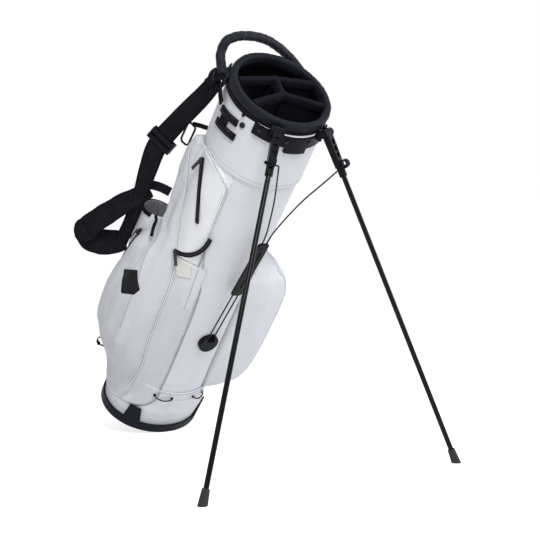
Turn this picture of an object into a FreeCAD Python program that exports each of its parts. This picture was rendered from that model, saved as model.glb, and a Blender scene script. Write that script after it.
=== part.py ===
"""A golf stand bag: an elliptical tube bag that leans on two folding legs.

The bag is drawn upright in its own frame and then leaned as one.  In that frame z runs up the
bag from the underside of the boot, x points to the front, where the legs are, and y is lateral.
The near side is -y and the far side is +y.  The row frame has its origin on the boot's ground
facet, +Z up and +X in the direction of the lean.  All lengths are millimetres.
"""
import FreeCAD, Part
import math
import os

V = FreeCAD.Vector

# ---- stance -------------------------------------------------------------------------------
lean_deg = 37.33            # angle of the bag's axis from the vertical
heel_cut = 1.6              # depth of the ground facet worn into the boot's front edge

# ---- tube and boot ------------------------------------------------------------------------
tube_rx = 105.0             # outer half width of the tube, front to back
tube_ry = 108.0             # outer half width of the tube, side to side
tube_wall = 2.5
boot_rx = 104.4             # outer half width of the boot, front to back
boot_ry = 123.2
boot_wall = 3.5
boot_round = 2.5            # edge of the sole
boot_height = 23.0
sole_thick = 5.0
skirt_wall = 2.5
skirt_top_z = 132.0
fit_gap = 0.3               # gap between soft or sewn neighbours
seat_gap = 0.3              # gap under a piece that rests on another

# ---- collar -------------------------------------------------------------------------------
collar_z = 886.65           # middle of the rim on the bag's axis
collar_tilt_deg = 11.5      # the rim is lower at the front
rim_rx = 107.7              # outer half width of the padded rim, front to back
rim_ry = 115.0
rim_wide = 16.0
rim_high = 23.0
rim_round = 7.0
flange_thick = 3.0
collar_skirt = 32.0         # depth of the collar inside the tube
collar_wall = 4.0
bar_wide = 14.0             # padded divider bars
bar_high = 20.0
panel_thick = 1.6           # divider fabric
panel_base_z = 14.0
stay_radius = 4.0
cuff_thick = 4.0
cuff_deep = 168.65          # from the rim's middle down to the cuff's hem at the front
cuff_hem_z = collar_z - cuff_deep

# ---- legs ---------------------------------------------------------------------------------
pivot_x = 109.8
pivot_y = 61.5
pivot_drop = 21.25          # the legs' hinges below the rim's middle
leg_length = 738.11         # pivot to the middle of the sole
leg_dir = V(0.690, -0.342, -0.638)      # near leg, opened, in the bag's frame
leg_radius = 5.3
leg_wall = 1.0
pin_radius = 3.0
pin_fit = 0.05              # running clearance round pins and rods
yoke_width = 18.0           # along the hinge
yoke_thick = 15.0
yoke_tip_width = 15.0
yoke_length = 94.0
ear_thick = 4.5
ear_gap = 0.6               # between the yoke's barrel and each ear
barrel_radius = 9.0
eye_along = 70.0            # eye of the spreader wire, along the leg from the pivot
eye_out = 14.0              # and outward from the leg's axis
eye_radius = 9.4
foot_top_radius = 7.6
foot_radius = 10.4
foot_height = 31.0
foot_spare = 12.0           # extra length that the floor cuts away
foot_floor = 14.0           # rubber under the tube's end

# ---- spreader linkage ---------------------------------------------------------------------
axle_x = 110.0              # the lower rod turns on its own cross bar in the guide disc
axle_z = 302.0
link_top_x = 142.7          # the link's line passes this point when the legs are open
link_top_z = 600.0
rod_radius = 1.6
rod_half_gap = 7.0
plate_start = 149.0         # from the axle, along the link
plate_end = 305.0
plate_width = 26.0
plate_thick = 5.4
slot_half_width = 2.6
slot_start = 172.0
slot_end = 283.0
plate_slide = 45.61         # travel of the plate along the rods as the legs fold
wire_root = 296.0           # where a wire turns in the plate, from the axle along the link
wire_root_y = 5.0
eye_slot_long = 12.6        # the open pivot: the wire floats in this slot
eye_slot_wide = 9.0
wire_rest = V(1.97, -0.72, -3.49)       # the near wire's place in its eye when the legs are open
disc_radius = 23.5
disc_thick = 9.5
disc_z = 292.0

# ---- sizes: the bag's shell ---------------------------------------------------------------
fin_angle_deg = 52.0        # the fins stand this far round from the front
fin_width = 48.0
fin_top_width = 28.0
fin_height = 64.0
fin_wall = 3.0
skirt_gap = 0.4
skirt_bulge = 7.0           # the skirt stands this far off the tube's sides at the fins' height
skirt_hem_out = 1.0         # and this far at its hem
tube_base_gap = 1.0
hem_rise = 26.0             # the hem climbs this much from the front to the back

# ---- sizes: collar, dividers and handle ---------------------------------------------------
node_back = V(-34, 0, 0)    # where the divider bars meet, in the rim's plane
node_front = V(10, 0, 0)
bar_ends = {"back": V(-25, 110, 0), "front": V(46, 110, 0)}
stay_places = [(-85.0, 0.0), (72.0, -49.0), (72.0, 49.0)]
handle_radius = 10.5
handle_route = [V(-60, -109, -2.65), V(-100, -103, 21.35), V(-108, -96, 48.35), V(-110, -68, 60.35),
                V(-114, -30, 60.35), V(-117, 8, 53.35), V(-115, 44, 39.35), V(-107, 79, 19.35),
                V(-84, 99, 4.35), V(-52, 109, -8.65)]     # heights from the rim's middle
lug_long = 44.0
lug_middle = -56.0
lug_thick = 6.0
lug_drop = 30.0

# ---- sizes: leg bracket and legs ----------------------------------------------------------
bracket_low = 36.0          # below the rim's middle
bracket_high = 12.6
bracket_thick = 5.0
bracket_half_deg = 52.0
tab_drop = 12.0
eye_length = 9.4
sleeve_radius = 8.0
sleeve_depth = 30.0
pocket_depth = 4.0

# ---- sizes: spreader linkage --------------------------------------------------------------
disc_round = 3.0
hub_radius = 4.4
hub_half = 12.5
rod_stop = 2.0              # between the rods' ends and the wires' sockets when the legs are folded
socket_radius = 2.4
socket_depth = 3.0
rivet_places = (160.0, 289.0)
rivet_hole = 1.5
rivet_head = 3.2
wire_bow = [V(144.6, -7, 632), V(149, -18.5, 676), V(156, -35.5, 730), V(166.5, -58.5, 782)]
wire_bend = 5.0
wire_stub = 13.0            # the wire's end beyond the eye's outer face
wire_inset = 8.5            # the bend's distance from the eye's inner face

# ---- sizes: pockets -----------------------------------------------------------------------
root_y = 70.0               # a pocket's section starts this far inside the tube
near_stations = [(98, 30, 123, -66), (125, 43, 138, -76), (180, 52, 168, -84), (240, 54, 192, -88),
                 (330, 52, 195, -90), (400, 44, 181, -90), (470, 26, 164, -88), (560, 2, 124, -88),
                 (640, -20, 119, -86), (716, -36, 116, -80)]
far_stations = [(118, 80, 150, -50), (140, 92, 180, -62), (190, 98, 194, -72), (280, 101, 199, -76),
                (400, 99, 196, -74), (445, 92, 178, -68), (472, 78, 142, -56)]
pouch_radius = 75.0         # a shallow pouch has its own rounder section
pouch_reach = 118.0         # farthest point from the bag's axis
pouch_deg = -82.0
pouch_low = 487.0
pouch_high = cuff_hem_z + 16
panel_low = 372.0           # the flat pocket under the pouch
panel_deg = -66.0
panel_away = 36.0
panel_radius = 78.0
bottle_mouth = V(-96, -111, 514)
bottle_foot = V(-92, -114, 402)
bottle_radius = 34.0
bottle_wall = 2.0
trim_thick = 2.2            # binding round the bottle pocket's mouth
trim_deep = 9.0

# ---- sizes: zips --------------------------------------------------------------------------
tape_width = 10.0
tape_thick = 3.0
tape_proud = 1.0
zip_headroom = 12.0         # the pockets leave this much clear over a zip for its slider
slider_long = 14.0
slider_wide = 8.4
slider_high = 4.0
pull_long = 30.0
pull_wide = 8.0
pull_thick = 2.0
valuables_hang = V(-0.36, 0, -0.93)
accessory_hang = V(0.606, 0, -0.795)
apparel_hang = V(0.1, 0, -1)

# ---- sizes: straps ------------------------------------------------------------------------
strap_face = V(0.6, -0.6, 0.5)
upper_points = [V(-68, -110, collar_z - 18.65), V(-77, -121, collar_z - 64.65), V(-95, -145, 744), V(-106, -164, 676),
                V(-108, -164, 612), V(-106, -161, 545), V(-101, -161, 480), V(-92, -168, 434)]
upper_widths = [40, 48, 50, 52, 46, 36, 30, 30]
loop_high = [V(-108, -140, 556), V(-114, -176, 524), V(-122, -213, 483), V(-126, -247, 445)]
loop_low = [V(-127, -257, 422), V(-121, -230, 408), V(-113, -201, 411), V(-104, -176, 428)]
loop_high_widths = [34, 44, 50, 46]
loop_low_widths = [44, 50, 54, 34]
loop_tip = V(-127, -250, 434)   # the rounded fold where the loop's two arms meet
loop_tip_radius = 26.0
strap_thick = 9.0
adjuster_long = 26.0
band_points = [V(-80, -108, 571), V(-92, -123, 573), V(-106, -137, 570)]
band_width = 20.0
band_thick = 2.5
ring_centre = V(-66, -114, collar_z - 13.65)
ring_radius = 11.0
ring_wire = 2.0
ring_axis = V(0.85, 0.2, 0.5)

# ---- sizes: fittings on the cuff ----------------------------------------------------------
head_gap = 0.05             # under the head of a stud or screw
snap_angle = -63.0
snap_z = collar_z - 49.65
snap_radius = 6.0
snap_high = 2.6
knob_angle = -66.0
knob_depth = 20.0           # below the rim's middle plane
knob_radius = 3.6
knob_high = 3.2
stud_fit = 0.1              # round the shank of a stud
screw_angles = (-44.0, -14.0, 14.0, 44.0)
screw_depth = 24.0          # below the rim's middle plane
screw_radius = 4.2
screw_high = 1.8
screw_shank = 4.0
plate_angles = [(-98.0, -69.0), (-99.0, -66.0)]
plate_heights = [(collar_z - 60.65, collar_z - 45.65), (collar_z - 90.65, collar_z - 75.65)]
anchor_thick = 4.0
webbing_points = [V(-52, -111, collar_z - 18.65), V(-34, -116, collar_z - 31.65),
                  V(-14, -119.5, collar_z - 40.65)]
webbing_width = 18.0
webbing_thick = 2.0
webbing_face = V(-0.25, -1, 0)
clip_top = V(-95, -107, cuff_hem_z + 20)
clip_long = 50.0
clip_wide = 22.0
clip_wire = 2.3
clip_face = V(0.35, -0.9, 0.15)
gate_long = 26.0
clip_bend = 8.0             # centreline radius of the wire's corners
tab_long = 42.0             # the webbing tab that hangs the clip
tab_wide = 10.0
tab_thick = 7.0
tab_centre = clip_top + V(10.5, 13, 4)
tab_run = V(0.64, 0.75, 0.2)

# ---- sizes: trim on the skirt and the pockets ---------------------------------------------
eyelet_angles = [-36.0, -15.0, 14.0, 31.0]
eyelet_z = 116.0
eyelet_radius = 3.6
eyelet_high = 1.6
cord_radius = 1.5
cord_start = 2.1            # the cords leave their eyelets this far off the skirt
cord_lead = 4.5             # straight out of an eyelet
cord_away = 8.0             # the cord's middle from the line between its eyelets
cord_sag = V(0, 0, -5)
patch_centre = V(-7, -184.5, 385)
patch_out = V(0, -0.97, 0.24)
patch_up = V(-0.606, 0, 0.795)
patch_width = 44.0
patch_height = 52.0
patch_corner = 12.0
patch_thick = 7.0           # it reaches through the curve of the pocket
loop_points = [V(-70, -128, 150), V(-80, -143, 149), V(-82, -149, 141), V(-77, -144, 131), V(-62, -128, 130)]
loop_radius = 2.2

# ---- far away corner used to cut with half spaces -----------------------------------------
far_out = 2000.0


# ---- small helpers ------------------------------------------------------------------------
def unit(vector):
    """The vector at length one."""
    result = V(vector)
    result.normalize()
    return result


def mirrored(shape):
    """The same shape on the other side of the bag."""
    return shape.mirror(V(0, 0, 0), V(0, 1, 0))


def flipped(vector):
    """The same vector on the other side of the bag."""
    return V(vector.x, -vector.y, vector.z)


def ellipse_wire(rx, ry, z):
    """A level ellipse round the bag's axis, whichever half width is larger."""
    centre = V(0, 0, z)
    if ry > rx:
        curve = Part.Ellipse(V(0, ry, z), V(rx, 0, z), centre)
    elif rx > ry:
        curve = Part.Ellipse(V(rx, 0, z), V(0, ry, z), centre)
    else:
        curve = Part.Circle(centre, V(0, 0, 1), rx)
    return Part.Wire([curve.toShape()])


def oval(rx, ry, z0, z1):
    """A straight solid with an elliptical section."""
    face = Part.Face(ellipse_wire(rx, ry, z0))
    return face.extrude(V(0, 0, z1 - z0))


def oval_loft(stations):
    """A solid through several level ellipses, given as (z, rx, ry)."""
    wires = [ellipse_wire(rx, ry, z) for z, rx, ry in stations]
    return Part.makeLoft(wires, True, True)


def cylinder_between(a, b, radius):
    """A round bar from a to b."""
    return Part.makeCylinder(radius, (b - a).Length, a, unit(b - a))


def oriented_box(centre, u, v, size_u, size_v, size_w):
    """A box about a centre, with its sides along u, v and their cross product."""
    u = unit(u)
    w = unit(u.cross(v))
    v = w.cross(u)
    corner = centre - u * (size_u / 2) - v * (size_v / 2) - w * (size_w / 2)
    points = [corner, corner + u * size_u, corner + u * size_u + v * size_v, corner + v * size_v]
    face = Part.Face(Part.makePolygon(points + [corner]))
    return face.extrude(w * size_w)


def bent_path(points, radii):
    """Straight runs through the points, joined by tangent arcs of the given radii."""
    edges = []
    start = points[0]
    for index in range(1, len(points) - 1):
        corner = points[index]
        back = unit(points[index - 1] - corner)
        ahead = unit(points[index + 1] - corner)
        half = back.getAngle(ahead) / 2
        reach = radii[index - 1] / math.tan(half)
        first = corner + back * reach
        last = corner + ahead * reach
        inward = unit(back + ahead)
        middle = corner + inward * (radii[index - 1] / math.sin(half) - radii[index - 1])
        edges.append(Part.LineSegment(start, first).toShape())
        edges.append(Part.Arc(first, middle, last).toShape())
        start = last
    edges.append(Part.LineSegment(start, points[-1]).toShape())
    return Part.Wire(edges)


def bent_rod(points, radii, radius):
    """A round rod along runs and arcs."""
    path = bent_path(points, radii)
    ring = Part.Wire([Part.Circle(points[0], points[1] - points[0], radius).toShape()])
    return path.makePipeShell([ring], True, True)


def easy_radii(points):
    """The largest tangent arc that each corner of a route has room for."""
    radii = []
    for index in range(1, len(points) - 1):
        back = points[index - 1] - points[index]
        ahead = points[index + 1] - points[index]
        turn = math.pi - back.getAngle(ahead)
        radii.append(0.45 * min(back.Length, ahead.Length) / math.tan(turn / 2))
    return radii


def ribbon(points, widths, thick, face):
    """A flat strap lofted through points, showing its flat side in the direction face."""
    wires = []
    for index, point in enumerate(points):
        before = points[max(index - 1, 0)]
        after = points[min(index + 1, len(points) - 1)]
        along = unit(after - before)
        side = unit(along.cross(face)) * (widths[index] / 2)
        out = unit(side.cross(along)) * (thick / 2)
        corners = [point - side - out, point + side - out, point + side + out, point - side + out]
        wires.append(Part.makePolygon(corners + [corners[0]]))
    return Part.makeLoft(wires, True, False)


def closed_spline(points):
    """A smooth closed wire through points."""
    curve = Part.BSplineCurve()
    curve.interpolate(Points=points, PeriodicFlag=True)
    return Part.Wire([curve.toShape()])


# ---- derived frames -----------------------------------------------------------------------
lean = math.radians(lean_deg)
corner_back = heel_cut / math.tan(lean)
corner_front = heel_cut * math.tan(lean)
bag_x = (corner_back - corner_front) / 2 - boot_rx * math.cos(lean)
bag_z = boot_rx * math.sin(lean) - heel_cut
stance = FreeCAD.Placement(V(bag_x, 0, bag_z), FreeCAD.Rotation(V(0, 1, 0), lean_deg))
collar_frame = FreeCAD.Placement(V(0, 0, collar_z), FreeCAD.Rotation(V(0, 1, 0), collar_tilt_deg))

leg_axis = unit(leg_dir)
hinge_axis = unit(leg_axis.cross(V(0, 0, -1)))      # a positive turn folds the near leg
leg_out = unit(leg_axis.cross(hinge_axis))
if leg_out.z < 0:
    leg_out = leg_out * -1
near_pivot = V(pivot_x, -pivot_y, collar_z - pivot_drop)

axle = V(axle_x, 0, axle_z)
link_axis = unit(V(link_top_x - axle_x, 0, link_top_z - axle_z))
link_face = V(0, 1, 0).cross(link_axis)             # points out of the plate, to the front


def below_rim(shape, depth):
    """Cuts a shape off at a plane parallel to the rim, this far below its middle."""
    block = Part.makeBox(far_out, far_out, far_out, V(-far_out / 2, -far_out / 2, -depth))
    block.Placement = collar_frame
    return shape.cut(block)


def ground_cut(shape, point):
    """Removes what lies below a point, in the stance the bag stands in."""
    block = Part.makeBox(far_out, far_out, far_out, V(-far_out / 2, -far_out / 2, -far_out))
    block.Placement = FreeCAD.Placement(point, stance.inverse().Rotation)
    return shape.cut(block)


def on_link(distance, y=0.0):
    """A point on the link's line, from the axle."""
    return axle + link_axis * distance + V(0, y, 0)


# ---- the bag's shell ----------------------------------------------------------------------
def base_boot():
    """The moulded boot: a sole and a wall, with the front edge worn to the ground facet."""
    outer = oval(boot_rx, boot_ry, 0, boot_height)
    outer = outer.makeFillet(boot_round, [outer.Edges[i] for i in boot_sole_edges(outer)])
    inner = oval(boot_rx - boot_wall, boot_ry - boot_wall, sole_thick, boot_height + 1)
    boot = outer.cut(inner)
    fins = [boot_fin(side) for side in (-1, 1)]
    return ground_cut(boot.fuse(fins).removeSplitter(), stance.inverse().Base)


def boot_sole_edges(solid):
    """Indices of the edges round the underside."""
    return [i for i, edge in enumerate(solid.Edges) if edge.BoundBox.ZMax < 0.01]


def boot_fin(side):
    """A tapered fin that rises from the boot's wall over the skirt."""
    spread = oval_loft([(sole_thick, boot_rx, boot_ry), (fin_height, fin_rx, fin_ry)])
    core = oval_loft([(sole_thick, boot_rx - fin_wall, boot_ry - fin_wall),
                      (fin_height, fin_rx - fin_wall, fin_ry - fin_wall)])
    shell = spread.cut(core)
    angle = math.radians(fin_angle_deg) * side
    out = V(math.cos(angle), math.sin(angle), 0)
    across = V(-math.sin(angle), math.cos(angle), 0)
    outline = [across * (-fin_width / 2) + V(0, 0, sole_thick + 1),
               across * (fin_width / 2) + V(0, 0, sole_thick + 1),
               across * (fin_top_width / 2) + V(0, 0, fin_height),
               across * (-fin_top_width / 2) + V(0, 0, fin_height)]
    blade = Part.Face(Part.makePolygon(outline + [outline[0]])).extrude(out * 200)
    return shell.common(blade)


fin_rx = tube_rx + skirt_wall + fin_wall + skirt_gap
fin_ry = tube_ry + skirt_bulge + 1.0 + skirt_wall + fin_wall + skirt_gap


def skirt_stations(grow):
    """Level ellipses of the lower skirt, grown outward."""
    inside_rx = boot_rx - boot_wall - fit_gap
    inside_ry = boot_ry - boot_wall - fit_gap
    return [(sole_thick + seat_gap, inside_rx + grow, inside_ry + grow),
            (boot_height, inside_rx + grow, inside_ry + grow),
            (fin_height, tube_rx + fit_gap + skirt_wall + grow, tube_ry + skirt_bulge + skirt_wall + grow),
            (skirt_top_z, tube_rx + fit_gap + skirt_wall + grow, tube_ry + skirt_hem_out + skirt_wall + grow)]


def base_skirt():
    """The white shroud between the boot and the tube."""
    shell = oval_loft(skirt_stations(0)).cut(oval_loft(skirt_stations(-skirt_wall)))
    return shell.cut([boot_fin(side) for side in (-1, 1)])


tube_base_z = sole_thick + seat_gap
taper_z = skirt_top_z + 12.0        # the tube narrows below this to fit in the boot


def tube_outline(grow):
    """The solid outline of the main tube, grown outward: a straight length on a tapered foot."""
    foot_rx = boot_rx - boot_wall - skirt_wall - fit_gap - tube_base_gap
    foot_ry = boot_ry - boot_wall - skirt_wall - fit_gap - tube_base_gap - 8.0
    foot = oval_loft([(tube_base_z, foot_rx + grow, foot_ry + grow),
                      (taper_z, tube_rx + grow, tube_ry + grow)])
    return foot.fuse(oval(tube_rx + grow, tube_ry + grow, taper_z, collar_z + 60))


def tube_envelope(grow):
    """The tube's straight length, grown outward and carried on down, to cut soft pieces with."""
    return oval(tube_rx + grow, tube_ry + grow, tube_base_z, collar_z + 60)


def main_tube():
    """The fabric covered tube that holds the clubs, open at the top."""
    tube = tube_outline(0).cut(tube_outline(-tube_wall))
    return below_rim(tube, rim_high / 2 + flange_thick + 2 * seat_gap)


def cuff_cover():
    """The padded cuff sewn round the top of the tube."""
    outer = oval(tube_rx + cuff_thick, tube_ry + cuff_thick, cuff_hem_z, collar_z + 60)
    inner = oval(tube_rx + fit_gap, tube_ry + fit_gap, cuff_hem_z - 1, collar_z + 61)
    cuff = outer.cut(inner)
    cuff = below_rim(cuff, rim_high / 2 + flange_thick + 2 * seat_gap)
    cuff = cuff.cut(hem_tongue())
    return cuff.cut([cuff_snap(stud_fit), rim_knob(stud_fit)])


def hem_tongue():
    """The sloping cut that lifts the hem toward the back."""
    slope = math.degrees(math.atan(hem_rise / (2 * tube_rx)))
    block = Part.makeBox(far_out, far_out, far_out, V(-far_out / 2, -far_out / 2, -far_out))
    block.Placement = FreeCAD.Placement(V(0, 0, cuff_hem_z + hem_rise / 2),
                                        FreeCAD.Rotation(V(0, 1, 0), slope))
    return block


# ---- collar, dividers and handle ----------------------------------------------------------
def collar_ring():
    """The rigid collar: a skirt inside the tube and a flange that carries the padded rim."""
    skirt_rx = tube_rx - tube_wall - fit_gap
    skirt_ry = tube_ry - tube_wall - fit_gap
    top = -rim_high / 2 - seat_gap
    skirt = oval(skirt_rx, skirt_ry, collar_z - collar_skirt - 45, collar_z + 45)
    skirt = skirt.cut(oval(skirt_rx - collar_wall, skirt_ry - collar_wall, 0, collar_z + 50))
    skirt = below_rim(skirt, -top + flange_thick / 2)
    keep = Part.makeBox(far_out, far_out, collar_skirt, V(-far_out / 2, -far_out / 2, top - collar_skirt))
    keep.Placement = collar_frame
    skirt = skirt.common(keep)
    flange = oval(rim_rx - 0.7, rim_ry - 0.7, top - flange_thick, top)
    flange = flange.cut(oval(rim_rx - rim_wide, rim_ry - rim_wide, top - flange_thick - 1, top + 1))
    flange.Placement = collar_frame
    return skirt.fuse(flange).removeSplitter()


def collar_pad():
    """The soft rim that the clubs rest on."""
    outer = oval(rim_rx, rim_ry, -rim_high / 2, rim_high / 2)
    inner = oval(rim_rx - rim_wide, rim_ry - rim_wide, -rim_high, rim_high)
    ring = outer.cut(inner)
    ring = ring.makeFillet(rim_round, [edge for edge in ring.Edges if len(edge.Vertexes) == 1])
    ring.Placement = collar_frame
    return ring


def bar(start, end):
    """One straight padded bar with a rounded top."""
    run = end - start
    side = unit(run.cross(V(0, 0, 1)))
    low = start - side * (bar_wide / 2) - V(0, 0, bar_high / 2)
    face = Part.Face(Part.makePolygon([low, low + side * bar_wide, low + side * bar_wide + V(0, 0, bar_high),
                                       low + V(0, 0, bar_high), low]))
    beam = face.extrude(run)
    top = [edge for edge in beam.Edges
           if edge.BoundBox.ZMin > bar_high / 2 - 0.01 and edge.Length > bar_wide + 1]
    return beam.makeFillet(5.0, top)


def divider_runs():
    """Start and end of each divider bar."""
    runs = [(node_back, node_front)]
    for side in (-1, 1):
        runs.append((node_back, V(bar_ends["back"].x, side * bar_ends["back"].y, 0)))
        runs.append((node_front, V(bar_ends["front"].x, side * bar_ends["front"].y, 0)))
    return runs


def top_divider():
    """The padded bars that divide the mouth into four compartments."""
    bars = [bar(start, end) for start, end in divider_runs()]
    posts = [Part.makeCylinder(bar_wide / 2, bar_high, node - V(0, 0, bar_high / 2))
             for node in (node_back, node_front)]
    whole = bars[0].fuse(bars[1:] + posts)
    room = oval(rim_rx - rim_wide - fit_gap, rim_ry - rim_wide - fit_gap, -rim_high, rim_high)
    whole = whole.common(room).removeSplitter()
    whole.Placement = collar_frame
    return whole


def divider_panels():
    """The fabric walls that hang from the bars down to the boot, one solid to each bar."""
    room = oval(tube_rx - tube_wall - collar_wall - 2 * fit_gap - 0.5,
                tube_ry - tube_wall - collar_wall - 2 * fit_gap - 0.5, panel_base_z, collar_z + 60)
    panels = []
    for start, end in divider_runs():
        run = unit(end - start)
        away = 1.0 + panel_thick
        first = start + run * away
        last = end - run * away if end == node_front else end
        side = unit(run.cross(V(0, 0, 1))) * (panel_thick / 2)
        base = [first - side, first + side, last + side, last - side]
        face = Part.Face(Part.makePolygon(base + [base[0]]))
        wall = face.extrude(V(0, 0, collar_z + 60)).common(room)
        panels.append(below_rim(wall, bar_high / 2 + seat_gap).cut(collar_ring()))
    return Part.makeCompound(panels)


def stay_rods():
    """The stiffening rods between the collar and the boot."""
    rods = []
    for x, y in stay_places:
        top = collar_z - x * math.tan(math.radians(collar_tilt_deg)) - collar_skirt - rim_high / 2 - 4
        rods.append(Part.makeCylinder(stay_radius, top - sole_thick - seat_gap,
                                      V(x, y, sole_thick + seat_gap)))
    return Part.makeCompound(rods)


def grab_handle():
    """The lift handle, a soft arch that leans back over the mouth, with a lug at each end."""
    route = [point + V(0, 0, collar_z) for point in handle_route]
    arch = bent_rod(route, easy_radii(route), handle_radius)
    rim_room = oval(rim_rx + fit_gap, rim_ry + fit_gap, -60, rim_high)
    rim_room.Placement = collar_frame
    lugs = [handle_lug(side) for side in (-1, 1)]
    for lug in lugs:
        lug.Placement = collar_frame
    handle = arch.cut(rim_room).fuse(lugs + [ring_tab()]).removeSplitter()
    return handle.cut([ring_room(), webbing_tail(2 * seat_gap)])


def handle_lug(side):
    """The flat foot that fixes one end of the handle to the cuff, under the rim."""
    high = 2.0
    outer = oval(rim_rx + lug_thick, rim_ry + lug_thick, -lug_drop, high)
    inner = oval(rim_rx + fit_gap, rim_ry + fit_gap, -lug_drop - 1, high + 1)
    window = Part.makeBox(lug_long, 60, 100, V(lug_middle - lug_long / 2, 80, -50))
    if side < 0:
        window = mirrored(window)
    return outer.cut(inner).common(window)


# ---- leg bracket and legs -----------------------------------------------------------------


def wedge(half_deg, z0, z1, centre_deg=0.0):
    """A pie slice round the bag's axis, used to cut arcs out of rings."""
    length = 400.0
    a0 = math.radians(centre_deg - half_deg)
    a1 = math.radians(centre_deg + half_deg)
    points = [V(0, 0, z0), V(length * math.cos(a0), length * math.sin(a0), z0),
              V(length * math.cos(a1), length * math.sin(a1), z0)]
    return Part.Face(Part.makePolygon(points + [points[0]])).extrude(V(0, 0, z1 - z0))


def ear_centres():
    """Middles of the two ears of the near pivot, inner then outer."""
    reach = yoke_width / 2 + ear_gap + ear_thick / 2
    return [near_pivot + hinge_axis * reach, near_pivot - hinge_axis * reach]


def bracket_ear(centre):
    """One ear of a pivot, reaching back to the bracket's band."""
    back = unit(V(leg_out.x, leg_out.y, 0)) * -1
    nose = Part.makeCylinder(barrel_radius, ear_thick, centre - hinge_axis * (ear_thick / 2), hinge_axis)
    web = oriented_box(centre + back * 16 - V(0, 0, 7), back, V(0, 0, 1), 32, barrel_radius * 2 + 4, ear_thick)
    return nose.fuse(web)


def leg_bracket():
    """The band under the front of the rim with two clevises for the legs."""
    inner = oval(tube_rx + cuff_thick + fit_gap, tube_ry + cuff_thick + fit_gap, 600, 1000)
    band = oval(tube_rx + cuff_thick + bracket_thick, tube_ry + cuff_thick + bracket_thick, 600, 1000)
    band = band.common(wedge(bracket_half_deg, 600, 1000))
    window = Part.makeBox(far_out, far_out, bracket_low - bracket_high,
                          V(-far_out / 2, -far_out / 2, -bracket_low))
    tab = Part.makeBox(far_out, 52, tab_drop + 2, V(0, -26, -bracket_low - tab_drop))
    keep = window.fuse(tab)
    keep.Placement = collar_frame
    band = band.common(keep)
    ears = [bracket_ear(centre) for centre in ear_centres()]
    ears = ears + [mirrored(ear) for ear in ears]
    whole = band.fuse(ears)
    whole = whole.cut(inner)
    rim_room = oval(rim_rx + 0.6, rim_ry + 0.6, -rim_high / 2 - flange_thick - 1, rim_high)
    rim_room.Placement = collar_frame
    whole = whole.cut(rim_room)
    pin = pin_solid(0)
    whole = whole.cut([pin, mirrored(pin)]).removeSplitter()
    for screw in bracket_screws().Solids:
        whole = whole.cut(screw)
    return whole


def pin_solid(grow):
    """The near leg's pivot pin."""
    half = yoke_width / 2 + ear_gap + ear_thick + 1.2
    return cylinder_between(near_pivot - hinge_axis * half, near_pivot + hinge_axis * half, pin_radius + grow)


def pivot_pins():
    """Both pivot pins."""
    pin = pin_solid(0)
    return Part.makeCompound([pin, mirrored(pin)])


def leg_point(distance, out=0.0, across=0.0):
    """A point by the near leg: along it from the pivot, outward and along the hinge."""
    return near_pivot + leg_axis * distance + leg_out * out + hinge_axis * across


def yoke_section(distance, width, thick):
    """A rectangle across the near leg."""
    points = [leg_point(distance, -thick / 2, -width / 2), leg_point(distance, -thick / 2, width / 2),
              leg_point(distance, thick / 2, width / 2), leg_point(distance, thick / 2, -width / 2)]
    return Part.makePolygon(points + [points[0]])


def leg_yoke():
    """The moulded arm that carries the near leg: barrel, tapered arm, wire eye and sleeve."""
    barrel = cylinder_between(near_pivot - hinge_axis * (yoke_width / 2),
                              near_pivot + hinge_axis * (yoke_width / 2), barrel_radius)
    arm = Part.makeLoft([yoke_section(2, yoke_width, yoke_thick),
                         yoke_section(eye_along + 4, yoke_tip_width, sleeve_radius * 1.7)], True, True)
    sleeve = cylinder_between(leg_point(eye_along - 2), leg_point(yoke_length), sleeve_radius)
    eye = cylinder_between(leg_point(eye_along, eye_out, -eye_length / 2),
                           leg_point(eye_along, eye_out, eye_length / 2), eye_radius)
    neck = oriented_box(leg_point(eye_along, eye_out / 2), leg_axis, leg_out,
                        eye_radius * 2 - 2, eye_out, eye_length - 1)
    yoke = barrel.fuse([arm, sleeve, eye, neck])
    for start, length in ((14, 11), (29, 11), (44, 9)):
        yoke = yoke.cut(yoke_pocket(start, length))
    bore = cylinder_between(leg_point(yoke_length - sleeve_depth), leg_point(yoke_length + 1), leg_radius)
    yoke = yoke.cut([pin_solid(pin_fit), bore, eye_slot()])
    return yoke.removeSplitter()


def yoke_pocket(start, length):
    """A lightening pocket in the outer face of the arm."""
    width = yoke_width * 0.5
    return oriented_box(leg_point(start + length / 2, yoke_thick / 2), leg_axis, leg_out,
                        length, pocket_depth * 2, width)


def eye_slot():
    """The slot in the eye in which the spreader wire floats."""
    centre = leg_point(eye_along, eye_out)
    half = (eye_slot_long - eye_slot_wide) / 2
    reach = hinge_axis * (eye_length / 2 + 1)
    ends = [cylinder_between(centre + leg_axis * d - reach, centre + leg_axis * d + reach, eye_slot_wide / 2)
            for d in (-half, half)]
    middle = oriented_box(centre, leg_axis, leg_out, half * 2, eye_slot_wide, eye_length + 2)
    return ends[0].fuse([ends[1], middle])


def leg_tube():
    """The near leg's tube, from the yoke's sleeve into the foot."""
    start = leg_point(yoke_length - sleeve_depth + 0.2)
    end = leg_point(leg_length - foot_floor)
    outer = cylinder_between(start, end, leg_radius)
    return outer.cut(cylinder_between(start - leg_axis, end + leg_axis, leg_radius - leg_wall))


def leg_foot():
    """The near leg's rubber foot: a flared boot cut flat where it stands."""
    top = leg_point(leg_length - foot_height)
    cone = Part.makeCone(foot_top_radius, foot_radius, foot_height + foot_spare, top, leg_axis)
    bore = cylinder_between(top - leg_axis, leg_point(leg_length - foot_floor), leg_radius)
    foot = cone.cut(bore)
    return ground_cut(foot, leg_point(leg_length))


# ---- spreader linkage ---------------------------------------------------------------------


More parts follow.
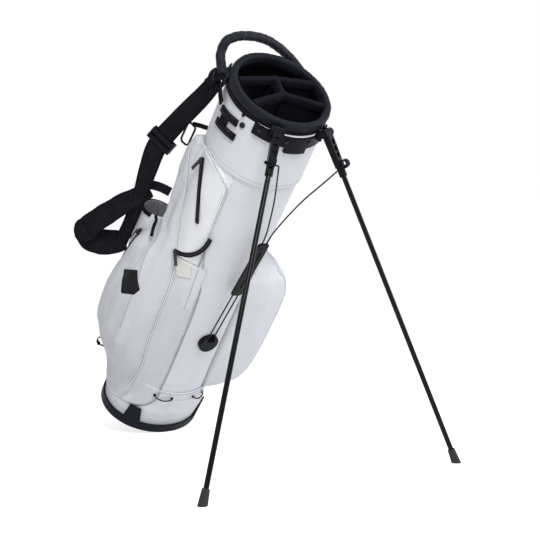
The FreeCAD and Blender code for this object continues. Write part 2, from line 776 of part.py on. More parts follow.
def guide_disc():
    """The round housing on the tube's front with the bearing of the lower rod."""
    back = tube_rx + seat_gap
    disc = Part.makeCylinder(disc_radius, disc_thick + 10, V(back - 10, 0, disc_z), V(1, 0, 0))
    rim = [edge for edge in disc.Edges if edge.BoundBox.XMin > back + disc_thick - 0.01]
    disc = disc.makeFillet(disc_round, rim)
    disc = disc.cut(tube_envelope(seat_gap))
    slot = Part.makeBox(30, 2 * (rod_half_gap + rod_radius + 0.6), 60,
                        V(axle_x - rod_radius - 0.5, -rod_half_gap - rod_radius - 0.6, axle_z - 2.8))
    rod_room = Part.makeCylinder(rod_radius + pin_fit, 2 * hub_half, V(axle_x, -hub_half, axle_z), V(0, 1, 0))
    return disc.cut([slot, rod_room]).removeSplitter()


def lower_rod():
    """The U shaped rod: two parallel legs and the cross bar that turns in the disc."""
    bar_half = hub_half - 1.0
    cross = cylinder_between(axle - V(0, bar_half, 0), axle + V(0, bar_half, 0), rod_radius)
    top = wire_root - socket_depth - rod_stop - plate_slide
    legs = [cylinder_between(on_link(0, y), on_link(top, y), rod_radius)
            for y in (-rod_half_gap, rod_half_gap)]
    return cross.fuse(legs).removeSplitter()


def spreader_plate():
    """The slotted plate that slides on the lower rod and carries the two upper wires."""
    middle = (plate_start + plate_end) / 2
    length = plate_end - plate_start
    body = oriented_box(on_link(middle), link_axis, V(0, 1, 0), length, plate_width, plate_thick)
    corners = [edge for edge in body.Edges if abs(edge.Length - plate_thick) < 0.01]
    body = body.makeFillet(5.0, corners)
    slot = oriented_box(on_link((slot_start + slot_end) / 2), link_axis, V(0, 1, 0),
                        slot_end - slot_start, 2 * slot_half_width, plate_thick + 2)
    slot = slot.makeFillet(slot_half_width - 0.1, [e for e in slot.Edges
                                                   if abs(e.Length - plate_thick - 2) < 0.01])
    bore_end = wire_root - socket_depth - rod_stop / 2
    bores = [cylinder_between(on_link(plate_start - 1, y), on_link(bore_end, y), rod_radius + pin_fit)
             for y in (-rod_half_gap, rod_half_gap)]
    sockets = [wire_socket(side) for side in (-1, 1)]
    rivets = [rivet(place, rivet_hole) for place in rivet_places]
    return body.cut([slot] + bores + sockets + rivets).removeSplitter()


def wire_socket(side):
    """The mouth at the plate's top in which one wire turns."""
    y = side * wire_root_y
    return cylinder_between(on_link(wire_root - socket_depth, y), on_link(plate_end + 1, y), socket_radius)


def rivet(distance, radius):
    """A bar through the plate at one rivet's place."""
    reach = link_face * (plate_thick / 2 + 1)
    return cylinder_between(on_link(distance) - reach, on_link(distance) + reach, radius)


def plate_rivets():
    """The two rivets of the plate, each with a low head on both faces."""
    rivets = []
    for place in rivet_places:
        pin = rivet(place, rivet_hole)
        for side in (-1, 1):
            start = on_link(place) + link_face * (side * plate_thick / 2)
            pin = pin.fuse(cylinder_between(start, start + link_face * side, rivet_head))
        rivets.append(pin)
    return Part.makeCompound(rivets)


def near_wire():
    """The bowed spring wire from the plate to the near leg's eye, bent to pass through it."""
    seat = leg_point(eye_along, eye_out) + wire_rest
    corner = seat + hinge_axis * (eye_length / 2 + wire_inset)
    tip = seat - hinge_axis * (eye_length / 2 + wire_stub)
    root = on_link(wire_root, -wire_root_y)
    points = [root] + wire_bow + [corner, tip]
    radii = easy_radii(points)
    radii[-1] = wire_bend
    wire = bent_rod(points, radii, rod_radius)
    cap_start = seat - hinge_axis * (eye_length / 2 + 6.0)
    cap = cylinder_between(cap_start, cap_start - hinge_axis * 5, 3.6)
    return wire.fuse(cap).removeSplitter()


# ---- pockets ------------------------------------------------------------------------------
def pocket_loft(stations, side):
    """A side pocket through level sections of (z, front x, outer y, back x)."""
    wires = []
    for z, front, out, back in stations:
        mid = (front + back) / 2
        half = (front - back) / 2
        root = root_y
        ring = [(front - 6, root), (front, (root + out) / 2), (front - 0.14 * half, out - 0.16 * (out - root)),
                (mid + 0.42 * half, out - 1), (mid - 0.42 * half, out),
                (back + 0.12 * half, out - 0.2 * (out - root)), (back, (root + out) / 2), (back + 6, root),
                (mid, root - 12)]
        wires.append(closed_spline([V(x, side * y, z) for x, y in ring]))
    return Part.makeLoft(wires, True, False).cut(tube_envelope(fit_gap))


def apparel_pocket():
    """The long pocket on the near side."""
    body = pocket_loft(near_stations, -1)
    return body.cut([base_envelope(), zip_room(apparel_track), zip_room(accessory_track),
                     valuables_room(fit_gap), bottle_room(fit_gap), patch_room(), hem_room()])


def base_envelope():
    """The skirt's outline with a gap, which the pockets hang clear of."""
    return oval_loft(skirt_stations(fit_gap))


def ball_pocket():
    """The deep pocket on the far side."""
    return pocket_loft(far_stations, 1).cut(base_envelope())


def valuables_room(grow):
    """The outline of the valuables pocket, grown outward."""
    angle = math.radians(pouch_deg)
    away = pouch_reach - pouch_radius
    centre = V(away * math.cos(angle), away * math.sin(angle), pouch_low - grow)
    body = Part.makeCylinder(pouch_radius + grow, pouch_high - pouch_low + 2 * grow, centre)
    return body.cut(hem_room())


def hem_room():
    """Room under the cuff's sloping hem."""
    outer = oval(tube_rx + cuff_thick + fit_gap, tube_ry + cuff_thick + fit_gap, cuff_hem_z - 20, collar_z)
    return outer.cut(hem_tongue())


def valuables_pocket():
    """The shallow pocket high on the near side."""
    return valuables_room(0).cut([tube_envelope(fit_gap), zip_room(valuables_track),
                                  zip_room(accessory_track)])


def accessory_pocket():
    """The flat pocket below the valuables pocket."""
    angle = math.radians(panel_deg)
    centre = V(panel_away * math.cos(angle), panel_away * math.sin(angle), panel_low)
    body = Part.makeCylinder(panel_radius, pouch_low - panel_low - fit_gap, centre)
    near_side = pocket_loft(near_stations, -1)
    return body.cut([tube_envelope(fit_gap), near_side, zip_room(accessory_track)])


def bottle_room(grow):
    """The outline of the bottle pocket, grown outward."""
    return cylinder_between(bottle_foot, bottle_mouth, bottle_radius + grow)


def bottle_pocket():
    """The open pocket for a bottle, on the near side toward the back."""
    base = bottle_foot + unit(bottle_mouth - bottle_foot) * bottle_wall
    inside = cylinder_between(base, bottle_mouth + V(0, 0, 1), bottle_radius - bottle_wall)
    sleeve = bottle_room(0).cut(inside)
    return sleeve.cut(tube_envelope(fit_gap))


# ---- zips ---------------------------------------------------------------------------------


class Track:
    """An arc that a zip follows over a pocket, with the outward direction at its start."""

    def __init__(self, start, middle, end, out):
        self.start = start
        self.middle = middle
        self.end = end
        self.centre = Part.Arc(start, middle, end).toShape().Curve.Center
        self.axis = unit((middle - start).cross(end - middle))
        first = start - self.centre
        last = end - self.centre
        self.sweep_deg = math.degrees(first.getAngle(last))
        self.along = unit(self.axis.cross(first))
        self.out = unit(out - self.along * out.dot(self.along))
        self.side = self.along.cross(self.out)


valuables_track = Track(V(-8, -119.0, 716), V(21, -117.2, 651), V(45, -109.5, 585), V(0.1, -1, 0))
accessory_track = Track(V(16, -114.5, 488), V(60, -97.6, 512), V(76, -84.5, 566), V(0.45, -0.9, 0.1))
apparel_track = Track(V(-70, -152, 478), V(-73, -164, 437), V(-74, -172, 396), V(-0.6, -0.8, 0))


def zip_tape(track):
    """The tape and teeth of one zip, an arc of constant section let into the pocket."""
    return zip_run(track, tape_proud, 0)


def zip_run(track, top, grow):
    """An arc of constant section along a track, from the tape's back to this height."""
    side = track.side * (tape_width / 2 + grow)
    low = track.out * (tape_proud - tape_thick)
    high = track.out * top
    corners = [track.start - side + low, track.start + side + low,
               track.start + side + high, track.start - side + high]
    face = Part.Face(Part.makePolygon(corners + [corners[0]]))
    return face.revolve(track.centre, track.axis, track.sweep_deg)


def zip_room(track):
    """Room for a zip and for its slider to run along it."""
    return zip_run(track, zip_headroom, fit_gap)


def zip_slider(track):
    """The slider at the start of its track, just above the teeth."""
    centre = (track.start + track.along * (slider_long / 2 + 1)
              + track.out * (tape_proud + seat_gap + slider_high / 2))
    body = oriented_box(centre, track.along, track.side, slider_long, slider_wide, slider_high)
    return body.makeFillet(1.2, body.Edges)


def pull_root(track):
    """The middle of the hinge line between a slider and its pull tab."""
    height = tape_proud + 2 * seat_gap + slider_high + pull_thick / 2
    return track.start + track.along * (slider_long / 2 + 1) + track.out * height


def pull_direction(track, hang):
    """The way a pull tab lies: the hang direction laid in the plane of the zip."""
    return unit(hang - track.out * hang.dot(track.out))


def zip_pull(track, hang):
    """The pull tab that hangs from the slider."""
    along = pull_direction(track, hang)
    centre = pull_root(track) + along * (pull_long / 2 - pull_thick / 2)
    body = oriented_box(centre, along, along.cross(track.out), pull_long, pull_wide, pull_thick)
    return body.makeFillet(0.8, body.Edges)


# ---- straps -------------------------------------------------------------------------------


def strap_upper():
    """The padded shoulder strap from the collar's ring down the back."""
    strap = ribbon(upper_points, upper_widths, strap_thick, strap_face)
    return strap.cut([ring_room(), cuff_room()])


def cuff_room():
    """The cuff's outline with a gap, which what hangs beside it stays clear of."""
    return oval(tube_rx + cuff_thick + fit_gap, tube_ry + cuff_thick + fit_gap, cuff_hem_z, collar_z)


def strap_room():
    """The shoulder strap's outline with a gap."""
    return ribbon(upper_points, upper_widths, strap_thick + 2 * fit_gap, strap_face)


def strap_loop():
    """The second strap, folded in a loop beside the bag."""
    high = ribbon(loop_high, loop_high_widths, strap_thick, strap_face)
    low = ribbon(loop_low, loop_low_widths, strap_thick, strap_face)
    parts = [max(arm.cut(strap_room()).Solids, key=lambda solid: solid.Volume) for arm in (high, low)]
    out = unit(strap_face) * (strap_thick / 2)
    fold = cylinder_between(loop_tip - out, loop_tip + out, loop_tip_radius)
    return parts[0].fuse([parts[1], fold]).removeSplitter()


def strap_adjuster():
    """The ladder buckle on the shoulder strap, a frame that the strap fills."""
    a = upper_points[2]
    b = upper_points[3]
    along = unit(b - a)
    side = along.cross(strap_face)
    frame = oriented_box(b - along * 14, along, side, adjuster_long, upper_widths[3] + 8, strap_thick + 7)
    slot = oriented_box(b - along * 14, along, side, 5, upper_widths[3] + 2, strap_thick + 9)
    return frame.cut([strap_upper(), slot])


def strap_band():
    """The short webbing that holds the straps' joint to the bag's back."""
    band = ribbon(band_points, [band_width, band_width, band_width], band_thick, strap_face)
    loose = band.cut([pocket_loft(near_stations, -1), strap_loop()])
    return max(loose.Solids, key=lambda solid: solid.Volume)


def strap_ring():
    """The metal ring between the handle's lug and the shoulder strap."""
    return Part.makeTorus(ring_radius, ring_wire, ring_centre, unit(ring_axis))


def ring_tab():
    """The eye on the near lug that holds the strap's ring."""
    across = unit(ring_axis)
    inward = unit(V(0, 1, 0) - across * across.y)
    centre = ring_centre + inward * ring_radius
    return oriented_box(centre + inward * 3, inward, across, 12, 7, 9)


def ring_room():
    """Room for the ring to lie loose in whatever it passes through."""
    return Part.makeTorus(ring_radius, ring_wire + 0.4, ring_centre, unit(ring_axis))


# ---- fittings on the cuff -----------------------------------------------------------------
def on_cuff(angle_deg, z, grow=0.0):
    """A point on the cuff's outer face and the outward direction there."""
    rx = tube_rx + cuff_thick + grow
    ry = tube_ry + cuff_thick + grow
    angle = math.radians(angle_deg)
    point = V(rx * math.cos(angle), ry * math.sin(angle), z)
    return point, unit(V(math.cos(angle) / rx, math.sin(angle) / ry, 0))


def rim_plane_z(x):
    """Height of the rim's middle plane above a point of the bag's cross section."""
    return collar_z - x * math.tan(math.radians(collar_tilt_deg))


def button(angle_deg, z, head_radius, head_high, grow=0.0, shank=2.0, loose=0.0):
    """A round head standing on the cuff, with a shank let into it, its sides grown by loose."""
    point, out = on_cuff(angle_deg, z, grow)
    head = cylinder_between(point + out * head_gap, point + out * (head_gap + head_high), head_radius)
    stem = cylinder_between(point - out * shank, point + out, head_radius * 0.45 + loose)
    return head.fuse(stem).removeSplitter()


def cuff_snap(loose=0.0):
    """The press stud on the near side of the cuff."""
    return button(snap_angle, snap_z, snap_radius, snap_high, loose=loose)


def rim_knob(loose=0.0):
    """The small button under the rim on the near side."""
    point, out = on_cuff(knob_angle, 0)
    return button(knob_angle, rim_plane_z(point.x) - knob_depth, knob_radius, knob_high, loose=loose)


def bracket_screws():
    """The four screws of the leg bracket."""
    screws = []
    for angle in screw_angles:
        point, out = on_cuff(angle, 0)
        screws.append(button(angle, rim_plane_z(point.x) - screw_depth, screw_radius, screw_high,
                             bracket_thick, screw_shank))
    return Part.makeCompound(screws)


def cuff_patch(angle0, angle1, z0, z1, gap, thick):
    """A curved plate that lies on the cuff between two angles and two heights."""
    outer = oval(tube_rx + cuff_thick + gap + thick, tube_ry + cuff_thick + gap + thick, z0, z1)
    inner = oval(tube_rx + cuff_thick + gap, tube_ry + cuff_thick + gap, z0 - 1, z1 + 1)
    half = (angle1 - angle0) / 2
    return outer.cut(inner).common(wedge(half, z0 - 1, z1 + 1, angle0 + half))


def anchor_plates():
    """Two slotted plates on the cuff that the strap's webbing threads through."""
    plates = []
    for (angle0, angle1), (z0, z1) in zip(plate_angles, plate_heights):
        plate = cuff_patch(angle0, angle1, z0, z1, 0, anchor_thick)
        slot = cuff_patch(angle0 + 4, angle1 - 6, z1 - 6, z1 - 2.5, -1, 2 * anchor_thick)
        plates.append(plate.cut(slot))
    return Part.makeCompound(plates)


def webbing_tail(grow):
    """The webbing's free run from the ring, made thicker by grow."""
    width = webbing_width + grow
    return ribbon(webbing_points, [width, width, width], webbing_thick + grow, webbing_face)


def anchor_webbing():
    """The webbing from the ring to the anchor plates."""
    tail = webbing_tail(0).cut(ring_room())
    link = cuff_patch(-96, -79, plate_heights[1][1] + seat_gap, plate_heights[0][0] - seat_gap, 0, 2.0)
    top = cuff_patch(-105, -84, plate_heights[0][1] + seat_gap, plate_heights[0][1] + 8, 0, 7.0)
    return Part.makeCompound([tail.cut(top), link, top])


def clip_frame():
    """Directions of the towel clip: down, across and out."""
    down = unit(V(-0.05, -0.03, -1))
    across = unit(down.cross(clip_face))
    return down, across


def clip_point(down_by, across_by):
    """A point of the towel clip's outline."""
    down, across = clip_frame()
    return clip_top + down * down_by + across * across_by


def clip_body():
    """The C shaped wire of the towel clip."""
    half = clip_wide / 2
    gate_start = (clip_long - gate_long) / 2
    route = [clip_point(gate_start, half), clip_point(0, half), clip_point(0, -half),
             clip_point(clip_long, -half), clip_point(clip_long, half),
             clip_point(clip_long - gate_start, half)]
    return bent_rod(route, [clip_bend] * 4, clip_wire)


def gate_hinge():
    """The middle of the gate's round lower end, which it turns about."""
    gate_start = (clip_long - gate_long) / 2
    return clip_point(gate_start + gate_long - seat_gap - clip_wire, clip_wide / 2)


def clip_gate():
    """The sprung gate that closes the clip."""
    gate_start = (clip_long - gate_long) / 2
    top = clip_point(gate_start + seat_gap, clip_wide / 2)
    return cylinder_between(top, gate_hinge(), clip_wire).fuse(Part.makeSphere(clip_wire, gate_hinge()))


def clip_tab():
    """The webbing tab that hangs the clip from the cuff."""
    down, across = clip_frame()
    room = bent_rod([clip_point(30, clip_wide), clip_point(0, clip_wide), clip_point(0, -clip_wide),
                     clip_point(30, -clip_wide)], [6.0, 6.0], clip_wire + 0.5)
    straight = cylinder_between(clip_point(0, -clip_wide), clip_point(0, clip_wide), clip_wire + 1.2)
    block = oriented_box(tab_centre, tab_run, across, tab_long, tab_wide, tab_thick)
    loose = block.cut([straight, room, cuff_cover(), pocket_loft(near_stations, -1), main_tube()])
    return max(loose.Solids, key=lambda solid: solid.Volume)


# ---- trim on the skirt and the pockets -----------------------------------------------------


def skirt_point(angle_deg, z, out_by):
    """A point just off the skirt's upper part, and the outward direction."""
    share = (z - fin_height) / (skirt_top_z - fin_height)
    rx = tube_rx + fit_gap + skirt_wall
    ry = tube_ry + skirt_wall + skirt_bulge + (skirt_hem_out - skirt_bulge) * share
    angle = math.radians(angle_deg)
    out = unit(V(math.cos(angle) / rx, math.sin(angle) / ry, 0))
    return V(rx * math.cos(angle), ry * math.sin(angle), z) + out * out_by, out


def eyelets():
    """The four eyelets in the skirt's hem."""
    rings = []
    for angle in eyelet_angles:
        point, out = skirt_point(angle, eyelet_z, 0.4)
        rings.append(cylinder_between(point, point + out * eyelet_high, eyelet_radius))
    return Part.makeCompound(rings)


def drawcord_route(first, second):
    """The route of one elastic cord, from eyelet to eyelet, sagging clear of the skirt."""
    a, out_a = skirt_point(first, eyelet_z, cord_start)
    b, out_b = skirt_point(second, eyelet_z, cord_start)
    middle = (a + b) * 0.5
    out_m = unit(out_a + out_b)
    away = out_m * cord_away + cord_sag
    third = (a * 2 + b) * (1 / 3) + away
    two_thirds = (a + b * 2) * (1 / 3) + away
    return [a, a + out_a * cord_lead, third, two_thirds, b + out_b * cord_lead, b]


drawcord_near_route = drawcord_route(eyelet_angles[0], eyelet_angles[1])
drawcord_far_route = drawcord_route(eyelet_angles[2], eyelet_angles[3])


def drawcord(route):
    """One elastic cord between two eyelets."""
    return bent_rod(route, easy_radii(route), cord_radius)


def patch_room():
    """The blank patch on the near pocket, with its lower front corner cut."""
    out = unit(patch_out)
    side = unit(patch_up.cross(out))
    up = out.cross(side)
    low = patch_centre - out * 6
    points = [low - side * (patch_width / 2) - up * (patch_height / 2),
              low + side * (patch_width / 2 - patch_corner) - up * (patch_height / 2),
              low + side * (patch_width / 2) + up * (patch_corner - patch_height / 2),
              low + side * (patch_width / 2) + up * (patch_height / 2),
              low - side * (patch_width / 2) + up * (patch_height / 2)]
    return Part.Face(Part.makePolygon(points + [points[0]])).extrude(out * patch_thick)


def bottle_trim():
    """The bound edge round the bottle pocket's mouth."""
    down = unit(bottle_foot - bottle_mouth)
    start = bottle_mouth - down * 1.0
    outer = cylinder_between(start, bottle_mouth + down * trim_deep, bottle_radius + trim_thick)
    inner = cylinder_between(start - down, bottle_mouth + down * (trim_deep + 1), bottle_radius)
    lip = cylinder_between(start, bottle_mouth - down * 0.01, bottle_radius)
    lip = lip.cut(cylinder_between(start - down, bottle_mouth + down, bottle_radius - bottle_wall))
    trim = outer.cut(inner).fuse(lip)
    return trim.cut([tube_envelope(fit_gap), pocket_loft(near_stations, -1), strap_room()])


def side_loop():
    """The small webbing loop low on the near pocket's back edge."""
    strap = bent_rod(loop_points, easy_radii(loop_points), loop_radius)
    loose = strap.cut([pocket_loft(near_stations, -1), base_envelope()])
    return max(loose.Solids, key=lambda solid: solid.Volume)


# ---- building and writing the nodes -------------------------------------------------------
def nodes():
    """Every node of the bag, in the bag's own frame."""
    yoke = leg_yoke()
    tube = leg_tube()
    foot = leg_foot()
    wire = near_wire()
    return {
        "base_boot": base_boot(),
        "base_skirt": base_skirt(),
        "main_tube": main_tube(),
        "cuff_cover": cuff_cover(),
        "collar_ring": collar_ring(),
        "collar_pad": collar_pad(),
        "top_divider": top_divider(),
        "divider_panels": divider_panels(),
        "stay_rods": stay_rods(),
        "grab_handle": grab_handle(),
        "leg_bracket": leg_bracket(),
        "pivot_pins": pivot_pins(),
        "near_leg_yoke": yoke,
        "near_leg_tube": tube,
        "near_leg_foot": foot,
        "far_leg_yoke": mirrored(yoke),
        "far_leg_tube": mirrored(tube),
        "far_leg_foot": mirrored(foot),
        "guide_disc": guide_disc(),
        "lower_rod": lower_rod(),
        "spreader_plate": spreader_plate(),
        "plate_rivets": plate_rivets(),
        "near_wire": wire,
        "far_wire": mirrored(wire),
        "apparel_pocket": apparel_pocket(),
        "ball_pocket": ball_pocket(),
        "valuables_pocket": valuables_pocket(),
        "accessory_pocket": accessory_pocket(),
        "bottle_pocket": bottle_pocket(),
        "valuables_zip": zip_tape(valuables_track),
        "accessory_zip": zip_tape(accessory_track),
        "apparel_zip": zip_tape(apparel_track),
        "valuables_slider": zip_slider(valuables_track),
        "accessory_slider": zip_slider(accessory_track),
        "apparel_slider": zip_slider(apparel_track),
        "valuables_pull": zip_pull(valuables_track, valuables_hang),
        "accessory_pull": zip_pull(accessory_track, accessory_hang),
        "apparel_pull": zip_pull(apparel_track, apparel_hang),
        "bottle_trim": bottle_trim(),
        "blank_patch": patch_room(),
        "side_loop": side_loop(),
        "strap_upper": strap_upper(),
        "strap_loop": strap_loop(),
        "strap_adjuster": strap_adjuster(),
        "strap_band": strap_band(),
        "strap_ring": strap_ring(),
        "anchor_plates": anchor_plates(),
        "anchor_webbing": anchor_webbing(),
        "bracket_screws": bracket_screws(),
        "cuff_snap": cuff_snap(),
        "rim_knob": rim_knob(),
        "clip_tab": clip_tab(),
        "clip_body": clip_body(),
        "clip_gate": clip_gate(),
        "eyelets": eyelets(),
        "drawcord_near": drawcord(drawcord_near_route),
        "drawcord_far": drawcord(drawcord_far_route),
    }


def main():
    """Leans every node into the row frame and writes it."""
    os.makedirs("parts", exist_ok=True)
    for name, shape in nodes().items():
        leaned = shape.copy()
        leaned.Placement = stance.multiply(leaned.Placement)
        leaned.exportStep("parts/" + name + ".step")
        print(name, len(leaned.Solids), leaned.isValid(), round(leaned.Volume / 1000, 1))


main()
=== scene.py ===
"""Looks of the golf stand bag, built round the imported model.

Shapes are written in millimetres in the bag's own frame: z runs up the bag from the boot's
underside, x points to the front, where the legs are, and the near side is -y.  placed() turns such
a point into metres in the row frame, in which the bag leans.
"""
import math

import bmesh
import bpy
from mathutils import Matrix, Vector, noise
from mathutils.bvhtree import BVHTree


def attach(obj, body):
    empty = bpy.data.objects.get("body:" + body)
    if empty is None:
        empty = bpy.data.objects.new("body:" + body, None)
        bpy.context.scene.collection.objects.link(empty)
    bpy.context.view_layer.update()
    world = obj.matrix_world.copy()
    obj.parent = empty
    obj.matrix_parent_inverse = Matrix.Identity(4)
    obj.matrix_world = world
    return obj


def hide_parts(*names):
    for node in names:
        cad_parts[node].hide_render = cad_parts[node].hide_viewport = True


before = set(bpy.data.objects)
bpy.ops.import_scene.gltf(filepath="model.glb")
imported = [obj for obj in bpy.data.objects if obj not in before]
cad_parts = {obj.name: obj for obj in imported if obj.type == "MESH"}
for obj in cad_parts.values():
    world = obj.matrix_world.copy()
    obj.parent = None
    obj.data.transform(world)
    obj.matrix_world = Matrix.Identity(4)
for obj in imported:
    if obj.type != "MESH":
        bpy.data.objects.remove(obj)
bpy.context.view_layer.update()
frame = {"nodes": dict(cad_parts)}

# ---- the bag's frame and main sizes ----
MM = 0.001
LEAN = math.radians(37.33)
FOOT = Vector((-82.575, 0, 61.709))
TO_ROW = Matrix.Translation(FOOT) @ Matrix.Rotation(LEAN, 4, "Y")
FROM_ROW = TO_ROW.inverted()
TURN_BACK = FROM_ROW.to_3x3()
UP = Vector((0, 0, 1))

TUBE_RX = 105.0
TUBE_RY = 108.0
CUFF_THICK = 4.0
CUFF_HEM_Z = 718.0
HEM_RISE = 26.0
RIM_Z = 886.65
RIM_TILT = math.radians(11.5)
RIM_SLOPE = math.tan(RIM_TILT)
RIM_RX = 107.7
RIM_RY = 115.0
RIM_WIDE = 16.0
RIM_HIGH = 23.0
RIM_FRAME = Matrix.Translation((0, 0, RIM_Z)) @ Matrix.Rotation(RIM_TILT, 4, "Y")
STRAP_FACE = Vector((0.6, -0.6, 0.5))


def placed(point):
    """A point of the bag's frame in the row frame, in metres."""
    return (TO_ROW @ Vector(point)) * MM


def on_oval(rx, ry, degrees, z=0.0):
    """A point of a level ellipse round the bag's axis."""
    angle = math.radians(degrees)
    return Vector((rx * math.cos(angle), ry * math.sin(angle), z))


def round_tube(gap, degrees, z=0.0):
    """A point at a gap outside the tube."""
    return on_oval(TUBE_RX + gap, TUBE_RY + gap, degrees, z)


def oval_out(degrees):
    """The outward direction of the tube at an angle."""
    return on_oval(1 / TUBE_RX, 1 / TUBE_RY, degrees).normalized()


def degrees_of(point):
    """The angle of a point round the bag's axis."""
    return math.degrees(math.atan2(point.y, point.x))


def rim_height(x):
    """Height of the rim's middle plane above a point of the cross section."""
    return RIM_Z - x * RIM_SLOPE


def hem_height(x):
    """Height of the cuff's sloping hem."""
    return CUFF_HEM_Z + HEM_RISE / 2 - x * HEM_RISE / (2 * TUBE_RX)


def clear_of_oval(point, rx, ry):
    """The point, moved straight out from the axis to an ellipse if it is inside it."""
    share = math.hypot(point.x / rx, point.y / ry)
    if share >= 1 or share == 0:
        return point
    return Vector((point.x / share, point.y / share, point.z))


def clear_of_tube(point, gap):
    """The point, moved straight out if it is nearer to the tube than the gap."""
    return clear_of_oval(point, TUBE_RX + gap, TUBE_RY + gap)


def blend_at(values, t):
    """A smooth curve through evenly spaced values, at t from 0 to 1."""
    spot = t * (len(values) - 1)
    low = min(int(spot), len(values) - 2)
    part = spot - low
    a = values[low]
    b = values[low + 1]
    lead = (b - values[max(low - 1, 0)]) * 0.5
    trail = (values[min(low + 2, len(values) - 1)] - a) * 0.5
    square = part * part
    cube = square * part
    return (a * (2 * cube - 3 * square + 1) + lead * (cube - 2 * square + part)
            + b * (3 * square - 2 * cube) + trail * (cube - square))


def evenly(points, count):
    """Evenly stepped points along a run of points."""
    reach = [0.0]
    for a, b in zip(points, points[1:]):
        reach.append(reach[-1] + (b - a).length)
    result = []
    spot = 0
    for i in range(count):
        want = reach[-1] * i / (count - 1)
        while spot < len(reach) - 2 and reach[spot + 1] < want:
            spot += 1
        part = (want - reach[spot]) / max(reach[spot + 1] - reach[spot], 1e-9)
        result.append(points[spot].lerp(points[spot + 1], part))
    return result


def curve_through(points, count):
    """Evenly stepped points of a smooth curve through a few chosen ones."""
    chosen = [Vector(point) for point in points]
    return evenly([blend_at(chosen, i / 300) for i in range(301)], count)


def run_length(points):
    """Length of a run of points."""
    return sum((b - a).length for a, b in zip(points, points[1:]))


def heading(path, i, closed=False):
    """The direction of a path at one of its points."""
    count = len(path)
    ahead = (i + 1) % count if closed else min(i + 1, count - 1)
    behind = i - 1 if closed else max(i - 1, 0)
    return (path[ahead] - path[behind]).normalized()


def hump(x, centre, width):
    """A smooth hump of height one."""
    return math.exp(-((x - centre) / width) ** 2)


def ramp(x, low, high):
    """Zero below low, one above high and smooth between."""
    t = min(max((x - low) / (high - low), 0.0), 1.0)
    return t * t * (3 - 2 * t)


def rough(point, size, seed=0.0, stretch=(1, 1, 1)):
    """Smooth noise about zero, with features of the given size in millimetres."""
    place = Vector([a * b for a, b in zip(point, stretch)])
    return noise.noise(place / size + Vector((seed, seed * 1.7, -seed)))


# ---- meshes ----
class Shape:
    """Points, faces and the lay of the cloth, in the bag's frame."""

    def __init__(self):
        self.points = []
        self.lays = []
        self.faces = []

    def add(self, points, faces, lays=None):
        """Adds points, and faces that count from the first of them."""
        start = len(self.points)
        self.points += [Vector(point) for point in points]
        self.lays += lays or [tuple(point) for point in points]
        self.faces += [[start + i for i in face] for face in faces]

    def grid(self, rows, round_row=True, round_rows=False, capped=False, lays=None):
        """Quads between rows of points."""
        wide = len(rows[0])
        faces = []
        for r in range(len(rows) if round_rows else len(rows) - 1):
            here = r * wide
            there = (r + 1) % len(rows) * wide
            for c in range(wide if round_row else wide - 1):
                d = (c + 1) % wide
                faces.append([here + c, here + d, there + d, there + c])
        if capped:
            faces.append(list(range(wide)))
            faces.append([(len(rows) - 1) * wide + c for c in range(wide)])
        self.add([point for row in rows for point in row], faces, lays)

    def sweep(self, path, section, facing, closed=False):
        """A section carried along a path.  section(t) gives its (side, out) offsets."""
        rows = []
        lays = []
        run = 0.0
        for i, point in enumerate(path):
            along = heading(path, i, closed)
            face = facing[i] if isinstance(facing, list) else facing
            out = (face - along * face.dot(along)).normalized()
            side = along.cross(out)
            run += (point - path[i - 1]).length if i else 0.0
            ring = section(i / (len(path) - 1))
            rows.append([point + side * a + out * b for a, b in ring])
            lays += [(run, a, b) for a, b in ring]
        self.grid(rows, round_rows=closed, capped=not closed, lays=lays)

    def rod(self, path, radius, sides, closed=False):
        """A round cord along a path."""
        out = UP if abs((path[1] - path[0]).normalized().z) < 0.8 else Vector((1, 0, 0))
        facing = []
        for i in range(len(path)):
            along = heading(path, i)
            out = (out - along * out.dot(along)).normalized()
            facing.append(out)
        self.sweep(path, lambda t: oval_section(radius, radius, sides), facing, closed)

    def stitches(self, path, outs, pitch, long, radius):
        """A row of thread stitches lying on a path, each a short bar with sunk ends."""
        count = max(int(run_length(path) / pitch), 1)
        spots = evenly(path, count * 2 + 1)
        ups = evenly(outs, count * 2 + 1)
        for i in range(count):
            middle = (spots[i * 2] + spots[i * 2 + 1]) / 2
            along = (spots[i * 2 + 1] - spots[i * 2]).normalized()
            up = ups[i * 2].normalized()
            side = along.cross(up)
            rows = []
            for end, lift in ((-0.5, -0.5), (-0.25, 0.5), (0.25, 0.5), (0.5, -0.5)):
                centre = middle + along * (end * long) + up * (lift * radius)
                rows.append([centre - side * radius, centre + up * radius,
                             centre + side * radius, centre - up * radius])
            self.grid(rows, capped=True)


def oval_section(half_wide, half_high, sides):
    """An ellipse as a section."""
    turns = [2 * math.pi * i / sides for i in range(sides)]
    return [(half_wide * math.cos(turn), half_high * math.sin(turn)) for turn in turns]


def slab_section(half_wide, half_high, crown=0.0, corner=0.9, across=8):
    """A flat section with rounded edges, crowned on both faces."""
    radius = half_high * corner
    points = []
    for sx, sy, first in ((1, 1, 0), (-1, 1, 90), (-1, -1, 180), (1, -1, 270)):
        for i in range(5):
            angle = math.radians(first + 22.5 * i)
            points.append((sx * (half_wide - radius) + radius * math.cos(angle),
                           sy * (half_high - radius) + radius * math.sin(angle)))
    full = []
    for i, (a, b) in enumerate(points):
        full.append((a, b))
        c = points[(i + 1) % len(points)][0]
        if abs(c - a) > half_wide:
            for k in range(1, across):
                share = k / across
                full.append((a + (c - a) * share, b + math.copysign(crown * math.sin(math.pi * share), b)))
    return full


def strip(half_wide, half_high, *shape):
    """The same flat section all along a sweep."""
    section = slab_section(half_wide, half_high, *shape)
    return lambda t: section


